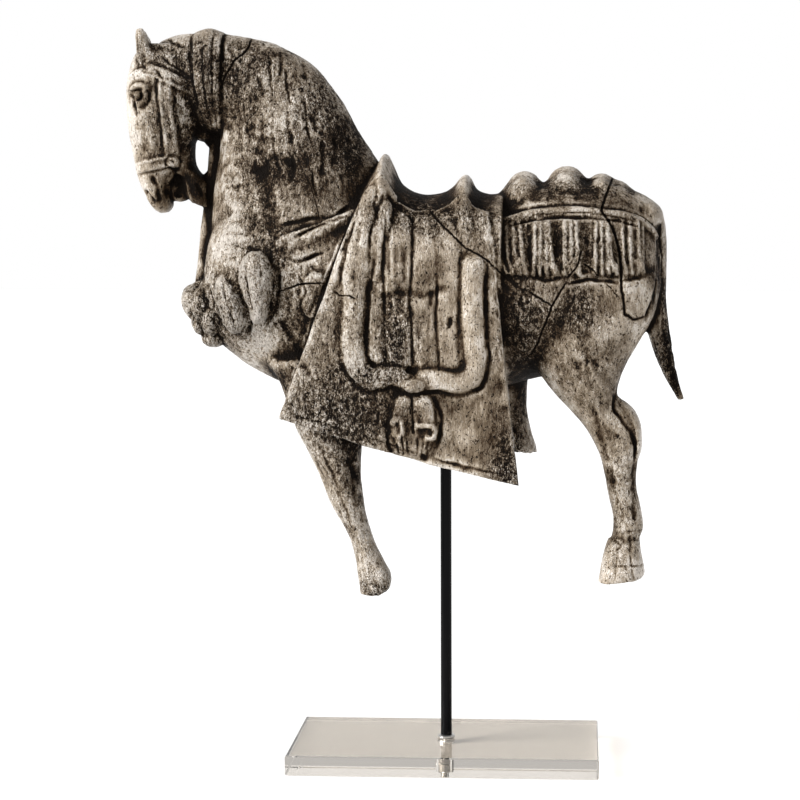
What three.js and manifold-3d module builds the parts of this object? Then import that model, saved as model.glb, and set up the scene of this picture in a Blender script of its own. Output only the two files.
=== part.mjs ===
// A cast resin horse in the manner of old tomb figures, on a black rod that stands in a clear acrylic plate.
// Millimetres. +X runs from head to tail, +Z is up, and the horse's left flank, its show side, faces -Y.
// It is worked out with the rod's axis at X 0 and Y 0 and the plate's underside at Z 0. At the end the whole is
// moved so that the origin is the middle of its footprint.
import * as THREE from "three";
import { mergeVertices } from "three/addons/utils/BufferGeometryUtils.js";
import Module from "manifold-3d";

const wasm = await Module();
wasm.setup();

// Stand
const PLATE = { length: 220, depth: 110, thickness: 14, edgeBreak: 0.8 };
const ROD = { radius: 4, top: 322 };
const WASHER = { outer: 6.4, inner: 3.3, thickness: 2.5, edge: 0.6 };
const SCREW = { headRadius: 5.6, headHeight: 5, shankRadius: 2.7, gripInRod: 18, keyRadius: 2.4, keyDepth: 2.6 };
const COUNTERBORE = { radius: 6.5, depth: 5.6 };
const CLEARANCE = 0.3;

// Horse: half widths of its barrel, its cloth and its skull, and how far its legs stand from its middle
const BARREL_HALF = 54;
const FORELEG_Y = 27;
const HIND_LEG_Y = 28;
const EAR_Y = 13;
const CLOTH = { half: 57.5, thickness: 5, shoulderZ: 350, flare: 0.035, squareness: 2.5 };
const ROLL_RADIUS = 7;
const RELIEF = 3.5;
const NEAR = -1;
const FAR = 1;

// Turns a closed three.js geometry into a solid that can be joined and cut, facing outwards.
function solid(geometry) {
  const bare = new THREE.BufferGeometry();
  bare.setIndex(geometry.index);
  bare.setAttribute("position", geometry.getAttribute("position"));
  const merged = mergeVertices(bare, 1e-3);
  const triVerts = new Uint32Array(merged.index.array);
  const vertProperties = merged.attributes.position.array;
  const make = () => new wasm.Manifold(new wasm.Mesh({ numProp: 3, vertProperties, triVerts }));
  const made = make();
  if (made.volume() > 0) return made;
  triVerts.reverse();
  return make();
}

// Turns a solid back into a three.js geometry with flat facets.
function geometryOf(manifold) {
  const mesh = manifold.getMesh();
  const indexed = new THREE.BufferGeometry();
  indexed.setIndex(new THREE.BufferAttribute(mesh.triVerts, 1));
  indexed.setAttribute("position", new THREE.BufferAttribute(mesh.vertProperties, 3));
  const flat = indexed.toNonIndexed();
  flat.computeVertexNormals();
  return flat;
}

const join = (solids) => solids.reduce((all, next) => all.add(next));

// A smooth line through points that are evenly spread in its parameter
const rail = (points) => new THREE.CatmullRomCurve3(points, false, "catmullrom", 0.5);

// A closed body over ribs. A rib crosses the body in the side view, from (x1, z1) to (x2, z2), and has a half
// width. Between ribs the body follows smooth rails. squareness 2 gives an oval section, and more a boxier one.
function loft(ribs, { sides = 12, perRib = 1.5, y = 0, squareness = 2 } = {}) {
  const from = rail(ribs.map(([x1, z1]) => new THREE.Vector3(x1, y, z1)));
  const to = rail(ribs.map(([, , x2, z2]) => new THREE.Vector3(x2, y, z2)));
  const width = rail(ribs.map(([, , , , half]) => new THREE.Vector3(half, 0, 0)));
  const body = new THREE.CylinderGeometry(1, 1, 1, sides, Math.round((ribs.length - 1) * perRib));
  const place = body.getAttribute("position");
  const corner = (value) => Math.sign(value) * Math.abs(value) ** (2 / squareness);
  for (let i = 0; i < place.count; i += 1) {
    const t = place.getY(i) + 0.5;
    const point = from.getPoint(t).lerp(to.getPoint(t), 0.5 + 0.5 * corner(place.getX(i)));
    place.setXYZ(i, point.x, point.y + width.getPoint(t).x * corner(place.getZ(i)), point.z);
  }
  return body;
}

// An oval lump with its middle at (x, y, z) and half sizes along each axis
function lump([x, y, z], [halfX, halfY, halfZ], [around, rings] = [8, 5]) {
  const ball = new THREE.SphereGeometry(1, around, rings).rotateX(Math.PI / 2);
  return solid(ball.scale(halfX, halfY, halfZ).translate(x, y, z));
}

const polygon = (points) => new THREE.Shape(points.map(([x, y]) => new THREE.Vector2(x, y)));

// Sections of bars: a many-sided round, and a flat strap
function round(radius, sides) {
  const turns = Array.from({ length: sides }, (_, i) => (2 * Math.PI * i) / sides);
  return polygon(turns.map((turn) => [radius * Math.cos(turn), radius * Math.sin(turn)]));
}

function flat(thickness, width) {
  const [x, y] = [thickness / 2, width / 2];
  return polygon([
    [-x, -y],
    [x, -y],
    [x, y],
    [-x, y],
  ]);
}

// A bar of one section along a smooth line. Where the line lies in the side view, the section's x points across
// the horse and its y lies in the side view.
function bar(points, section, steps) {
  const path = new THREE.CatmullRomCurve3(points.map((point) => new THREE.Vector3(...point)));
  return solid(new THREE.ExtrudeGeometry(section, { steps, bevelEnabled: false, extrudePath: path }));
}

// Finds how far out a body's skin lies at a place of the side view, on one side of the horse.
function skinFinder(geometries) {
  const material = new THREE.MeshBasicMaterial({ side: THREE.DoubleSide });
  const meshes = geometries.map((geometry) => new THREE.Mesh(geometry, material));
  const ray = new THREE.Raycaster();
  const farAway = 500;
  return (x, z, side) => {
    ray.set(new THREE.Vector3(x, side * farAway, z), new THREE.Vector3(0, -side, 0));
    const [hit] = ray.intersectObjects(meshes);
    return hit ? hit.point.y : 0;
  };
}

// Bodies of the horse. A rib is x1, z1, x2, z2 and the half width.
const TRUNK = loft(
  [
    [-170, 328, -170, 352, 14],
    [-164, 306, -166, 378, 32],
    [-148, 290, -150, 402, 43],
    [-122, 275, -120, 415, 49],
    [-85, 263, -80, 420, 52],
    [-35, 260, -35, 408, BARREL_HALF],
    [15, 263, 12, 401, BARREL_HALF],
    [60, 276, 60, 406, 53],
    [100, 284, 102, 413, 50],
    [129, 296, 131, 406, 42],
    [146, 316, 146, 392, 29],
    [152, 338, 152, 372, 13],
  ],
  { sides: 18, squareness: 2.25 },
);
const NECK = loft(
  [
    [-160, 322, -30, 397, 47],
    [-166, 365, -46, 427, 43],
    [-166, 395, -60, 449, 37],
    [-163, 420, -74, 473, 32],
    [-160, 436, -92, 495.5, 28],
    [-159, 446, -118, 511, 25],
    [-166, 449, -150, 518, 23],
    [-178, 451, -182, 520, 21],
    [-192, 466, -206, 515, 17],
  ],
  { sides: 14 },
);
const HEAD = loft(
  [
    [-213, 512, -186, 512, 12],
    [-221, 502, -176, 498, 19],
    [-226, 484, -170, 478, 23],
    [-226.5, 466, -171, 460, 23],
    [-225, 450, -176, 446, 20.5],
    [-222.5, 434, -183, 431, 17],
    [-220, 421, -189, 420, 15],
    [-215, 409, -192, 409, 14.5],
    [-209, 398, -189, 400, 12.5],
    [-202, 392.5, -193, 394, 8],
  ],
  { squareness: 2.4 },
);
const LOWER_JAW = loft(
  [
    [-200, 462, -174, 456, 15],
    [-197, 444, -177.5, 441, 13],
    [-194, 428, -177, 426, 10.5],
    [-190, 418, -170, 415, 8],
    [-186, 408, -166, 404, 7.5],
    [-181, 401, -168, 397, 5],
  ],
  { sides: 10, perRib: 1 },
);
const THROAT_STRAP = loft(
  [
    [-167, 456, -150, 455, 6],
    [-167.5, 440, -155, 440, 5],
    [-170, 415, -158, 415, 5],
    [-173.5, 388, -160, 388, 5],
    [-177, 363, -160, 363, 5.5],
    [-180, 336, -162, 336, 6],
  ],
  { sides: 6, perRib: 1, squareness: 3 },
);
const COLLAR = loft(
  [
    [-157, 446, -156, 520, 25.5],
    [-165, 448, -166, 523.5, 26.5],
    [-171, 450, -176, 521, 24],
  ],
  { sides: 16, perRib: 2 },
);
const NEAR_FORELEG = loft(
  [
    [-119, 275, -46, 285, 23],
    [-104, 243, -56, 243, 18],
    [-95.5, 226, -57.5, 226, 16],
    [-87, 207, -57.8, 206, 14],
    [-78, 186, -55, 186, 12],
    [-67, 165, -49, 164, 10],
    [-61.5, 146, -40.5, 146, 11],
    [-60, 138, -36.5, 138, 12.5],
    [-57.5, 128, -38.5, 129.5, 11.5],
    [-54, 124, -42, 127, 7],
  ],
  { y: NEAR * FORELEG_Y },
);
const FAR_FORELEG_STUMP = loft(
  [
    [-118, 290, -55, 290, 22],
    [-108, 272, -60, 272, 19],
    [-102, 259, -66, 260, 15],
  ],
  { sides: 10, y: FAR * FORELEG_Y },
);
const NEAR_HIND_LEG = loft(
  [
    [48, 335, 150, 350, 22],
    [60, 300, 147, 325, 24],
    [68, 280, 139, 308, 22],
    [87, 258, 126, 285, 18],
    [99, 244, 121.5, 267, 14.5],
    [105, 234, 134, 256, 12.5],
    [109, 225, 139, 238, 12],
    [112.5, 211, 136, 216, 10.5],
    [115.5, 198, 136, 202, 10],
    [119, 184, 140, 184, 10.5],
    [119.5, 174, 141, 173, 11],
    [117.5, 166, 137, 165, 10],
    [114, 156, 140, 155, 13],
    [111.5, 142, 142, 142, 15.5],
    [110.5, 134.5, 141, 138.5, 15.5],
  ],
  { y: NEAR * HIND_LEG_Y },
);
const FAR_HIND_STUMP = loft(
  [
    [45, 330, 130, 330, 22],
    [34, 298, 95, 302, 22],
    [31, 276, 62, 283, 18],
    [32, 258, 57, 259, 15],
    [35, 240, 60, 238, 13.5],
    [39, 222, 66, 219.5, 13],
  ],
  { sides: 10, y: FAR * HIND_LEG_Y },
);
const TAIL = loft(
  [
    [128, 404, 126, 390, 10],
    [142, 403, 138, 388, 9],
    [152, 395, 143, 382, 9],
    [156.5, 375, 146, 372, 9],
    [156.5, 340, 145, 340, 9],
    [157.5, 318, 142, 316, 8.5],
    [161, 297, 147, 297, 7.5],
    [165.5, 276, 156, 277, 5],
    [170, 261.5, 165, 261, 2],
  ],
  { sides: 8 },
);

// Saddle: the seat's line in the side view, with the pommel at its front and the cantle at its back
const SEAT = [
  [-56, 412],
  [-48, 425],
  [-42.5, 434.5],
  [-38, 428],
  [-31, 413.5],
  [-18, 406.5],
  [-2, 407],
  [6, 411.5],
  [12.5, 419],
  [17, 419],
  [22, 410],
  [31, 406.5],
  [41.5, 407],
];
const SADDLE = loft(
  SEAT.map(([x, z]) => [x, 300, x, z, BARREL_HALF + 1.5]),
  { sides: 14, perRib: 1, squareness: CLOTH.squareness },
);

// Height of the seat's line at x
function seatHeight(x) {
  const after = SEAT.findIndex(([at]) => at > x);
  const next = after < 0 ? SEAT.length - 1 : Math.max(1, after);
  const [[x1, z1], [x2, z2]] = [SEAT[next - 1], SEAT[next]];
  return THREE.MathUtils.mapLinear(THREE.MathUtils.clamp(x, x1, x2), x1, x2, z1, z2);
}

// How far out the cloth lies: rounded over the saddle's shoulder, then hanging and flaring a little
function clothHalf(z, seat) {
  if (z < CLOTH.shoulderZ) return CLOTH.half + (CLOTH.shoulderZ - z) * CLOTH.flare;
  const rise = Math.min(1, (z - CLOTH.shoulderZ) / (seat + CLOTH.thickness - CLOTH.shoulderZ));
  return CLOTH.half * (1 - rise ** CLOTH.squareness) ** (1 / CLOTH.squareness);
}

// One flap of the saddle cloth, a plate that is wider at its hem and starts a little below the seat. shrink draws
// in its lower corners.
function flap(side, shrink) {
  const sheet = new THREE.BoxGeometry(1, 1, 1, 7, 8, 1);
  const place = sheet.getAttribute("position");
  const front = { top: new THREE.Vector2(-44, 433), hem: new THREE.Vector2(-111 + shrink, 252.5 + shrink / 2) };
  const back = { top: new THREE.Vector2(31, 406), hem: new THREE.Vector2(54.3 - shrink, 207 + shrink) };
  const hemBow = 2.5;
  const belowSeat = 13;
  const topExtra = 8;
  for (let i = 0; i < place.count; i += 1) {
    const across = place.getX(i) + 0.5;
    const down = (0.5 - place.getY(i)) ** 1.5;
    const point = front.top.clone().lerp(front.hem, down).lerp(back.top.clone().lerp(back.hem, down), across);
    const seat = seatHeight(point.x);
    point.y += (seat - belowSeat - point.y) * (1 - down) ** 6 - hemBow * Math.sin(Math.PI * across) * down;
    const depth = place.getZ(i) > 0 ? 0 : CLOTH.thickness + topExtra * (1 - down);
    place.setXYZ(i, point.x, side * (clothHalf(point.y, seat) - depth), point.y);
  }
  return solid(sheet);
}

// A place on the near flap's face, from its place in the side view, lifted off it where asked
const onFlap = ([x, z], lift = 0) => [x, NEAR * (clothHalf(z, seatHeight(x)) + lift), z];

// A flat hanging ornament: an outline in the side view, leaning as what is behind it leans
function hanging(outline, [x, y, z], slope, thickness, width = 1) {
  const shape = polygon(outline.map(([dx, dz]) => [dx * width, dz]));
  const made = new THREE.ExtrudeGeometry(shape, { depth: thickness, bevelEnabled: false });
  return solid(made.translate(0, 0, -thickness / 2).rotateX(Math.PI / 2 - slope).translate(x, y, z));
}

// The gathered cover on the near flap: a thick roll that hangs in a loop, upright folds inside it, a knot in its
// middle, and below the knot two bows with a fringed tail each
function saddleCover() {
  const roll = [
    [-46, 396],
    [-53, 365],
    [-58.5, 335],
    [-59.5, 305],
    [-56, 287],
    [-46, 281],
    [-31, 282],
    [-19, 276],
    [-7, 280],
    [10, 277.5],
    [20, 280.5],
    [25, 292],
    [22.5, 315],
    [22, 340],
    [23.5, 364],
  ];
  const folds = [
    { x: -42.5, top: 334, bottom: 290, half: 4.2 },
    { x: -28.5, top: 390, bottom: 284, half: 8 },
    { x: -10.5, top: 390, bottom: 284, half: 6.5 },
    { x: 6, top: 388, bottom: 284, half: 6 },
  ];
  const tails = [
    [-6, 3],
    [12, 3],
    [16, -8],
    [17.5, -21],
    [10, -23],
    [14.5, -30],
    [14.5, -42],
    [0.5, -46],
    [0, -14],
    [-1.5, -46],
    [-15, -40],
    [-13, -30],
    [-14, -20],
    [-11, -6],
  ];
  const knot = [-17.5, 274];
  const ridges = folds.map(({ x, top, bottom, half }) => {
    const section = polygon([
      [-RELIEF, -half],
      [0, -half],
      [RELIEF, 0],
      [0, half],
      [-RELIEF, half],
    ]);
    const line = [top, (2 * top + bottom) / 3, (top + 2 * bottom) / 3, bottom].map((z) => onFlap([x, z]));
    return bar(line, section, 4);
  });
  return [
    ...ridges,
    bar(roll.map((point) => onFlap(point, -1)), round(ROLL_RADIUS, 6), 22),
    hanging(tails, onFlap(knot), CLOTH.flare, 2 * RELIEF + 3),
    lump(onFlap(knot, 2), [8, 6.5, 6.5], [8, 4]),
  ];
}

const skin = skinFinder([TRUNK, NECK, SADDLE]);
const headSkin = skinFinder([HEAD]);

// A strap that lies on the skin along a line of the side view, on one side of the horse
function strap(points, side, width, steps, find = skin) {
  return bar(points.map(([x, z]) => [x, find(x, z, side), z]), flat(2 * RELIEF, width), steps);
}

// The crupper strap with its row of fringed pendants
function crupperDress(side) {
  const line = [
    [36, 385],
    [50, 389],
    [62, 393],
    [78, 394.5],
    [110, 393.5],
    [125, 391],
    [135, 387.5],
    [143, 381.5],
    [148, 374],
  ];
  const outline = [
    [-5, 21],
    [5, 21],
    [5.5, -5],
    [10, -16],
    [9, -20],
    [-9, -20],
    [-10, -16],
    [-5.5, -5],
  ];
  const pendants = [51, 70, 89, 110, 130];
  const middleZ = 369.5;
  const reach = 12;
  const hung = pendants.map((x) => {
    const [high, low] = [skin(x, middleZ + reach, side), skin(x, middleZ - reach, side)];
    const slope = Math.atan2(high - low, 2 * reach);
    return hanging(outline, [x, (high + low) / 2, middleZ], slope, 2 * RELIEF, x > 120 ? 0.85 : 1);
  });
  return [strap(line, side, 6.5, 9), ...hung];
}

// The breast strap, and the pear-shaped pendants that hang from it round the chest
function breastDress(side) {
  const line = [
    [-112, 371],
    [-92, 376.5],
    [-75, 383],
    [-54, 391],
  ];
  const outer = [
    [-131, 366, -123, 367, 4],
    [-138.5, 352, -115.5, 354, 9],
    [-136, 338, -116.5, 338, 9],
    [-131, 328, -119, 328, 6.5],
    [-129, 322, -121, 322, 4],
  ];
  const inner = [
    [-160, 352, -152, 354, 4],
    [-162, 340, -145, 346, 8.5],
    [-158, 328, -137, 334, 9],
    [-154, 318, -135, 322, 7.5],
    [-152, 311, -138, 311, 4],
  ];
  return [
    strap(line, side, 9, 4),
    solid(loft(outer, { sides: 8, perRib: 1, y: side * 46 })),
    solid(loft(inner, { sides: 8, perRib: 1, y: side * 36 })),
  ];
}

// The pendant in the middle of the chest, a little towards the show side
const FRONT_PENDANT = loft(
  [
    [-180, 343, -170, 346, 5],
    [-187, 330, -168, 338, 11],
    [-182, 318, -162, 326, 11],
    [-173, 309, -158, 316, 8.5],
    [-172, 303, -158, 307, 7],
    [-167, 299, -160, 300, 4],
  ],
  { sides: 8, perRib: 1, y: NEAR * 7 },
);

// The headstall's cheek strap, brow strap and noseband on one side, with a boss where they cross
function headstall(side) {
  const [brow, bit] = [
    [-194.5, 490],
    [-191, 429.5],
  ];
  const boss = ([x, z], half) => lump([x, headSkin(x, z, side), z], half, [6, 4]);
  return [
    strap([brow, [-193.5, 470], [-191.5, 452], bit], side, 9, 4, headSkin),
    strap([brow, [-183, 483], [-172, 477]], side, 6, 2, headSkin),
    strap([bit, [-204, 427], [-218, 424]], side, 6.5, 3, headSkin),
    boss(bit, [4.4, 5, 4.4]),
  ];
}

// An upright ear with a hollow front
function ear(side) {
  const shell = loft(
    [
      [-215, 494, -197, 496, 5.5],
      [-217.5, 504, -203, 505, 5.5],
      [-218, 513, -207.5, 513, 5],
      [-216, 520, -210.5, 520.5, 3],
      [-214.5, 522.3, -212.5, 522.5, 1],
    ],
    { sides: 6, perRib: 1, y: side * EAR_Y },
  );
  return solid(shell).subtract(lump([-218, side * (EAR_Y + 1), 511], [3, 2.6, 8], [6, 4]));
}

// Eye: a heavy lid round a ball
function eye(side) {
  const [x, z] = [-213, 475];
  const y = headSkin(x, z, side);
  return [lump([x + 1, y, z], [8, 4.5, 6.5], [8, 4]), lump([x - 0.5, y + side * 2.2, z - 0.5], [4, 4, 3.4], [6, 4])];
}

// Hollows of the muzzle: the nostril and the open mouth
function muzzleHollows(side) {
  return [
    lump([-211, side * 13.5, 405], [3.2, 4, 5], [6, 4]),
    lump([-190, side * 13, 407], [6, 8, 10], [6, 4]),
  ];
}

// The loaves on the croup, one behind the other on a low ridge
function croupLoaves() {
  const loaf = [14, 14, 14.5];
  const middles = [
    [57, 409],
    [86, 412],
    [114.5, 407.5],
  ];
  const ridge = lump([86, 0, 399], [52, 32, 20], [12, 6]);
  return [ridge, ...middles.map(([x, z]) => lump([x, 0, z], loaf, [9, 6]))];
}

function horse() {
  const bodies = [
    TRUNK,
    NECK,
    HEAD,
    LOWER_JAW,
    THROAT_STRAP,
    COLLAR,
    NEAR_FORELEG,
    FAR_FORELEG_STUMP,
    NEAR_HIND_LEG,
    FAR_HIND_STUMP,
    TAIL,
    SADDLE,
    FRONT_PENDANT,
  ];
  const dress = [flap(NEAR, 0), flap(FAR, 12), ...saddleCover(), ...croupLoaves()];
  const cuts = [];
  for (const side of [NEAR, FAR]) {
    dress.push(ear(side), ...eye(side), ...headstall(side), ...crupperDress(side), ...breastDress(side));
    cuts.push(...muzzleHollows(side));
  }
  const bore = ROD.radius + CLEARANCE;
  const depth = ROD.top + CLEARANCE;
  cuts.push(solid(new THREE.CylinderGeometry(bore, bore, depth, 20).rotateX(Math.PI / 2).translate(0, 0, depth / 2)));
  return join([...bodies.map(solid), ...dress]).subtract(join(cuts));
}

// A round piece on the rod's axis, from its profile of radius and height pairs
function turned(profile, sides = 18) {
  const lathe = new THREE.LatheGeometry(
    profile.map(([radius, height]) => new THREE.Vector2(radius, height)),
    sides,
  );
  return solid(lathe.rotateX(Math.PI / 2));
}

function plate() {
  const { length, depth, thickness, edgeBreak } = PLATE;
  const [x, y] = [length / 2 - edgeBreak, depth / 2 - edgeBreak];
  const outline = polygon([
    [-x, -y],
    [x, -y],
    [x, y],
    [-x, y],
  ]);
  const slab = new THREE.ExtrudeGeometry(outline, {
    depth: thickness - 2 * edgeBreak,
    bevelThickness: edgeBreak,
    bevelSize: edgeBreak,
    bevelSegments: 1,
  });
  const shank = SCREW.shankRadius + CLEARANCE;
  const hole = turned([
    [0, -1],
    [COUNTERBORE.radius, -1],
    [COUNTERBORE.radius, COUNTERBORE.depth],
    [shank, COUNTERBORE.depth],
    [shank, thickness + 1],
    [0, thickness + 1],
  ]);
  return solid(slab.translate(0, 0, edgeBreak)).subtract(hole);
}

function washer() {
  const { outer, inner, thickness, edge } = WASHER;
  const [low, high] = [PLATE.thickness + CLEARANCE, PLATE.thickness + thickness];
  return turned([
    [inner, low],
    [outer - edge, low],
    [outer, low + edge],
    [outer, high - edge],
    [outer - edge, high],
    [inner, high],
    [inner, low],
  ]);
}

function rod() {
  const foot = PLATE.thickness + WASHER.thickness + CLEARANCE;
  const threadTop = foot + SCREW.gripInRod + 2;
  const bore = SCREW.shankRadius + CLEARANCE;
  return turned([
    [0, threadTop],
    [bore, threadTop],
    [bore, foot],
    [ROD.radius, foot],
    [ROD.radius, ROD.top - 1],
    [ROD.radius - 1, ROD.top],
    [0, ROD.top],
  ]);
}

function screw() {
  const { headRadius, headHeight, shankRadius, gripInRod, keyRadius, keyDepth } = SCREW;
  const headTop = COUNTERBORE.depth - CLEARANCE;
  const headFoot = headTop - headHeight;
  const tip = PLATE.thickness + WASHER.thickness + gripInRod;
  const edge = 0.4;
  const body = turned(
    [
      [0, headFoot],
      [headRadius - edge, headFoot],
      [headRadius, headFoot + edge],
      [headRadius, headTop],
      [shankRadius, headTop],
      [shankRadius, tip - 1],
      [shankRadius - 1, tip],
      [0, tip],
    ],
    16,
  );
  const key = new THREE.CylinderGeometry(keyRadius, keyRadius, 2 * keyDepth, 6);
  return body.subtract(solid(key.rotateX(Math.PI / 2).translate(0, 0, headFoot)));
}

const resin = new THREE.MeshStandardMaterial({ color: 0x8f8474, roughness: 0.75 });
const blackPaint = new THREE.MeshStandardMaterial({ color: 0x0c0c0d, roughness: 0.35 });
const acrylic = new THREE.MeshStandardMaterial({ color: 0xe9ebec, roughness: 0.04, transparent: true, opacity: 0.35 });
const steel = new THREE.MeshStandardMaterial({ color: 0xc9cacb, roughness: 0.25, metalness: 1 });

function node(name, manifold, material) {
  const mesh = new THREE.Mesh(geometryOf(manifold), material);
  mesh.name = name;
  return mesh;
}

const sculpture = new THREE.Group();
sculpture.add(
  node("horse", horse(), resin),
  node("rod", rod(), blackPaint),
  node("washer", washer(), steel),
  node("screw", screw(), steel),
  node("base_plate", plate(), acrylic),
);
const middle = new THREE.Box3().setFromObject(sculpture).getCenter(new THREE.Vector3());
sculpture.position.set(-middle.x, -middle.y, 0);

export default sculpture;
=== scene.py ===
"""A cast resin horse in the manner of old tomb figures, on a black rod in a clear acrylic plate."""

import math

import bmesh
import bpy
import numpy as np
from mathutils import Matrix, Vector, noise
from mathutils.bvhtree import BVHTree


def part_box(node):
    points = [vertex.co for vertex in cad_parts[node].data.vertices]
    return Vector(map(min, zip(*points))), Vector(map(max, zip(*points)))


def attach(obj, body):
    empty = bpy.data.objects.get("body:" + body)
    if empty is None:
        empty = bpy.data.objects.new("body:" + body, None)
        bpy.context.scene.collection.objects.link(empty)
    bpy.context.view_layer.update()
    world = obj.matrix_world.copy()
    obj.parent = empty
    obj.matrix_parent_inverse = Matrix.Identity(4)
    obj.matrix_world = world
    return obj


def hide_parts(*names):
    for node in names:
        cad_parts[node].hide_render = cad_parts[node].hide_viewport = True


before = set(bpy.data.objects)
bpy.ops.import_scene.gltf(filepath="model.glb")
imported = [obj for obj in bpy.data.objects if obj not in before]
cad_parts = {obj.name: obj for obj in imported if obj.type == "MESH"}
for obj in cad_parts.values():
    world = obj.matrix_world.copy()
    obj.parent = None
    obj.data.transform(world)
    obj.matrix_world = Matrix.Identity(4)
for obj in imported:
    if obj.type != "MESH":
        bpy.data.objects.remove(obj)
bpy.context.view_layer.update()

# The bare horse
# The real one is a hollow casting of polyester resin from a silicone mould. Its trunk, neck, head, legs and
# tail are one skin, so they are lofted one by one, melted together and softened where they meet.
# Sizes are millimetres from the rod's axis: X towards the tail, Z up, and the show side faces -Y.
NEAR, FAR = -1, 1
FORELEG_Y, HIND_LEG_Y, EAR_Y = 27, 28, 13
BARREL_HALF = 54

rod_low, rod_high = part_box("rod")
ROD_AXIS = Vector(((rod_low.x + rod_high.x) / 2, (rod_low.y + rod_high.y) / 2, 0))
MM = 0.001


def rail(points):
    """A smooth line through points, evenly spread over its parameter from 0 to 1."""
    points = np.array(points, float)
    held = np.vstack([2 * points[0] - points[1], points, 2 * points[-1] - points[-2]])

    def at(t):
        place = np.clip(t, 0, 1) * (len(points) - 1)
        i = np.minimum(place.astype(int), len(points) - 2)
        u = (place - i)[:, None]
        a, b, c, d = held[i], held[i + 1], held[i + 2], held[i + 3]
        bend, twist = 2 * a - 5 * b + 4 * c - d, 3 * b - a - 3 * c + d
        return 0.5 * (2 * b + (c - a) * u + bend * u**2 + twist * u**3)

    return at


def corner(value, squareness):
    """Turns a cosine or sine into one that rounds a boxier corner."""
    return np.sign(value) * np.abs(value) ** (2 / squareness)


def sleeve(sides, rings):
    """A closed upright cylinder with rings of vertices, and its vertices as an array."""
    bm = bmesh.new()
    bmesh.ops.create_cone(bm, cap_ends=True, segments=sides, radius1=1, radius2=1, depth=1)
    upright = [edge for edge in bm.edges if abs(edge.verts[0].co.z - edge.verts[1].co.z) > 0.5]
    bmesh.ops.subdivide_edges(bm, edges=upright, cuts=rings - 1)
    return bm, np.array([vert.co for vert in bm.verts])


def place_vertices(bm, places):
    """Moves a body's vertices to their places."""
    for vert, place in zip(bm.verts, places.tolist()):
        vert.co = place
    return bm


def loft(ribs, y=0.0, squareness=2.0, sides=36, rings_per_rib=5):
    """A closed body over ribs. A rib runs in the side view from x1, z1 to x2, z2, and has a half width."""
    ribs = np.array(ribs, float)
    bm, place = sleeve(sides, rings_per_rib * (len(ribs) - 1))
    t = place[:, 2] + 0.5
    start, end, half = rail(ribs[:, 0:2])(t), rail(ribs[:, 2:4])(t), rail(ribs[:, 4:5])(t)
    across = 0.5 + 0.5 * corner(place[:, 0], squareness)[:, None]
    side_view = start + (end - start) * across
    depth = y + half[:, 0] * corner(place[:, 1], squareness)
    return place_vertices(bm, np.stack([side_view[:, 0], depth, side_view[:, 1]], 1))


def lump(middle, half, turn=0.0):
    """An oval lump, turned in the side view by degrees."""
    bm = bmesh.new()
    bmesh.ops.create_uvsphere(bm, u_segments=28, v_segments=18, radius=1)
    stretch = Matrix.Diagonal((*half, 1))
    shape = Matrix.Translation(middle) @ Matrix.Rotation(math.radians(turn), 4, "Y") @ stretch
    bmesh.ops.transform(bm, matrix=shape, verts=bm.verts)
    return bm


def melt(bodies, voxel, soften):
    """Melts overlapping closed bodies into one mesh with a single skin, and softens it."""
    whole = bmesh.new()
    for body in bodies:
        part = bpy.data.meshes.new("part")
        body.to_mesh(part)
        body.free()
        whole.from_mesh(part)
        bpy.data.meshes.remove(part)
    bmesh.ops.recalc_face_normals(whole, faces=whole.faces)
    mesh = bpy.data.meshes.new("melted")
    whole.to_mesh(mesh)
    whole.free()
    piece = bpy.data.objects.new("melted", mesh)
    bpy.context.scene.collection.objects.link(piece)
    remesh = piece.modifiers.new("melt", "REMESH")
    remesh.mode = "VOXEL"
    remesh.voxel_size = voxel
    smooth = piece.modifiers.new("soften", "SMOOTH")
    smooth.factor = 0.5
    smooth.iterations = soften
    skin_mesh = bpy.data.meshes.new_from_object(piece.evaluated_get(bpy.context.evaluated_depsgraph_get()))
    bpy.data.objects.remove(piece)
    bpy.data.meshes.remove(mesh)
    return skin_mesh


def as_bmesh(mesh):
    """A mesh opened again, to shape it or melt it with further bodies."""
    bm = bmesh.new()
    bm.from_mesh(mesh)
    return bm


# Each body's ribs from one end to the other: x, z on one side, x, z on the other side, and half width
TRUNK = [
    (-170, 328, -170, 352, 14), (-164, 306, -166, 378, 32), (-148, 290, -150, 402, 43),
    (-122, 275, -120, 415, 49), (-85, 263, -80, 420, 52), (-35, 260, -35, 408, BARREL_HALF),
    (15, 263, 12, 401, BARREL_HALF), (60, 276, 60, 406, 53), (100, 284, 102, 413, 50),
    (129, 296, 131, 406, 42), (146, 316, 146, 392, 29), (152, 338, 152, 372, 13),
]
NECK = [
    (-160, 322, -30, 397, 47), (-166, 365, -46, 427, 43), (-166, 395, -60, 449, 37),
    (-163, 420, -74, 473, 32), (-160, 436, -92, 495.5, 28), (-159, 446, -118, 511, 25),
    (-166, 449, -150, 518, 23), (-178, 451, -182, 519.5, 20), (-190, 466, -203, 514, 15),
]
HEAD = [
    (-213, 512, -186, 512, 12), (-221, 502, -176, 498, 19), (-225.5, 484, -170, 478, 23),
    (-226, 466, -171, 460, 23), (-224.5, 450, -176, 446, 20.5), (-222, 434, -183, 431, 17),
    (-219.5, 421, -191, 420, 15), (-215, 409, -196, 409, 14.5), (-209, 398, -194.5, 399, 12.5),
    (-203, 393, -197.5, 393.5, 8),
]
LOWER_JAW = [
    (-200, 462, -174, 456, 15), (-197, 444, -177.5, 441, 14), (-194, 428, -177, 426, 13),
    (-188.5, 418, -169, 415, 12), (-185.5, 408, -167.5, 402, 11), (-182, 402, -168, 396, 8),
]
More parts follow.
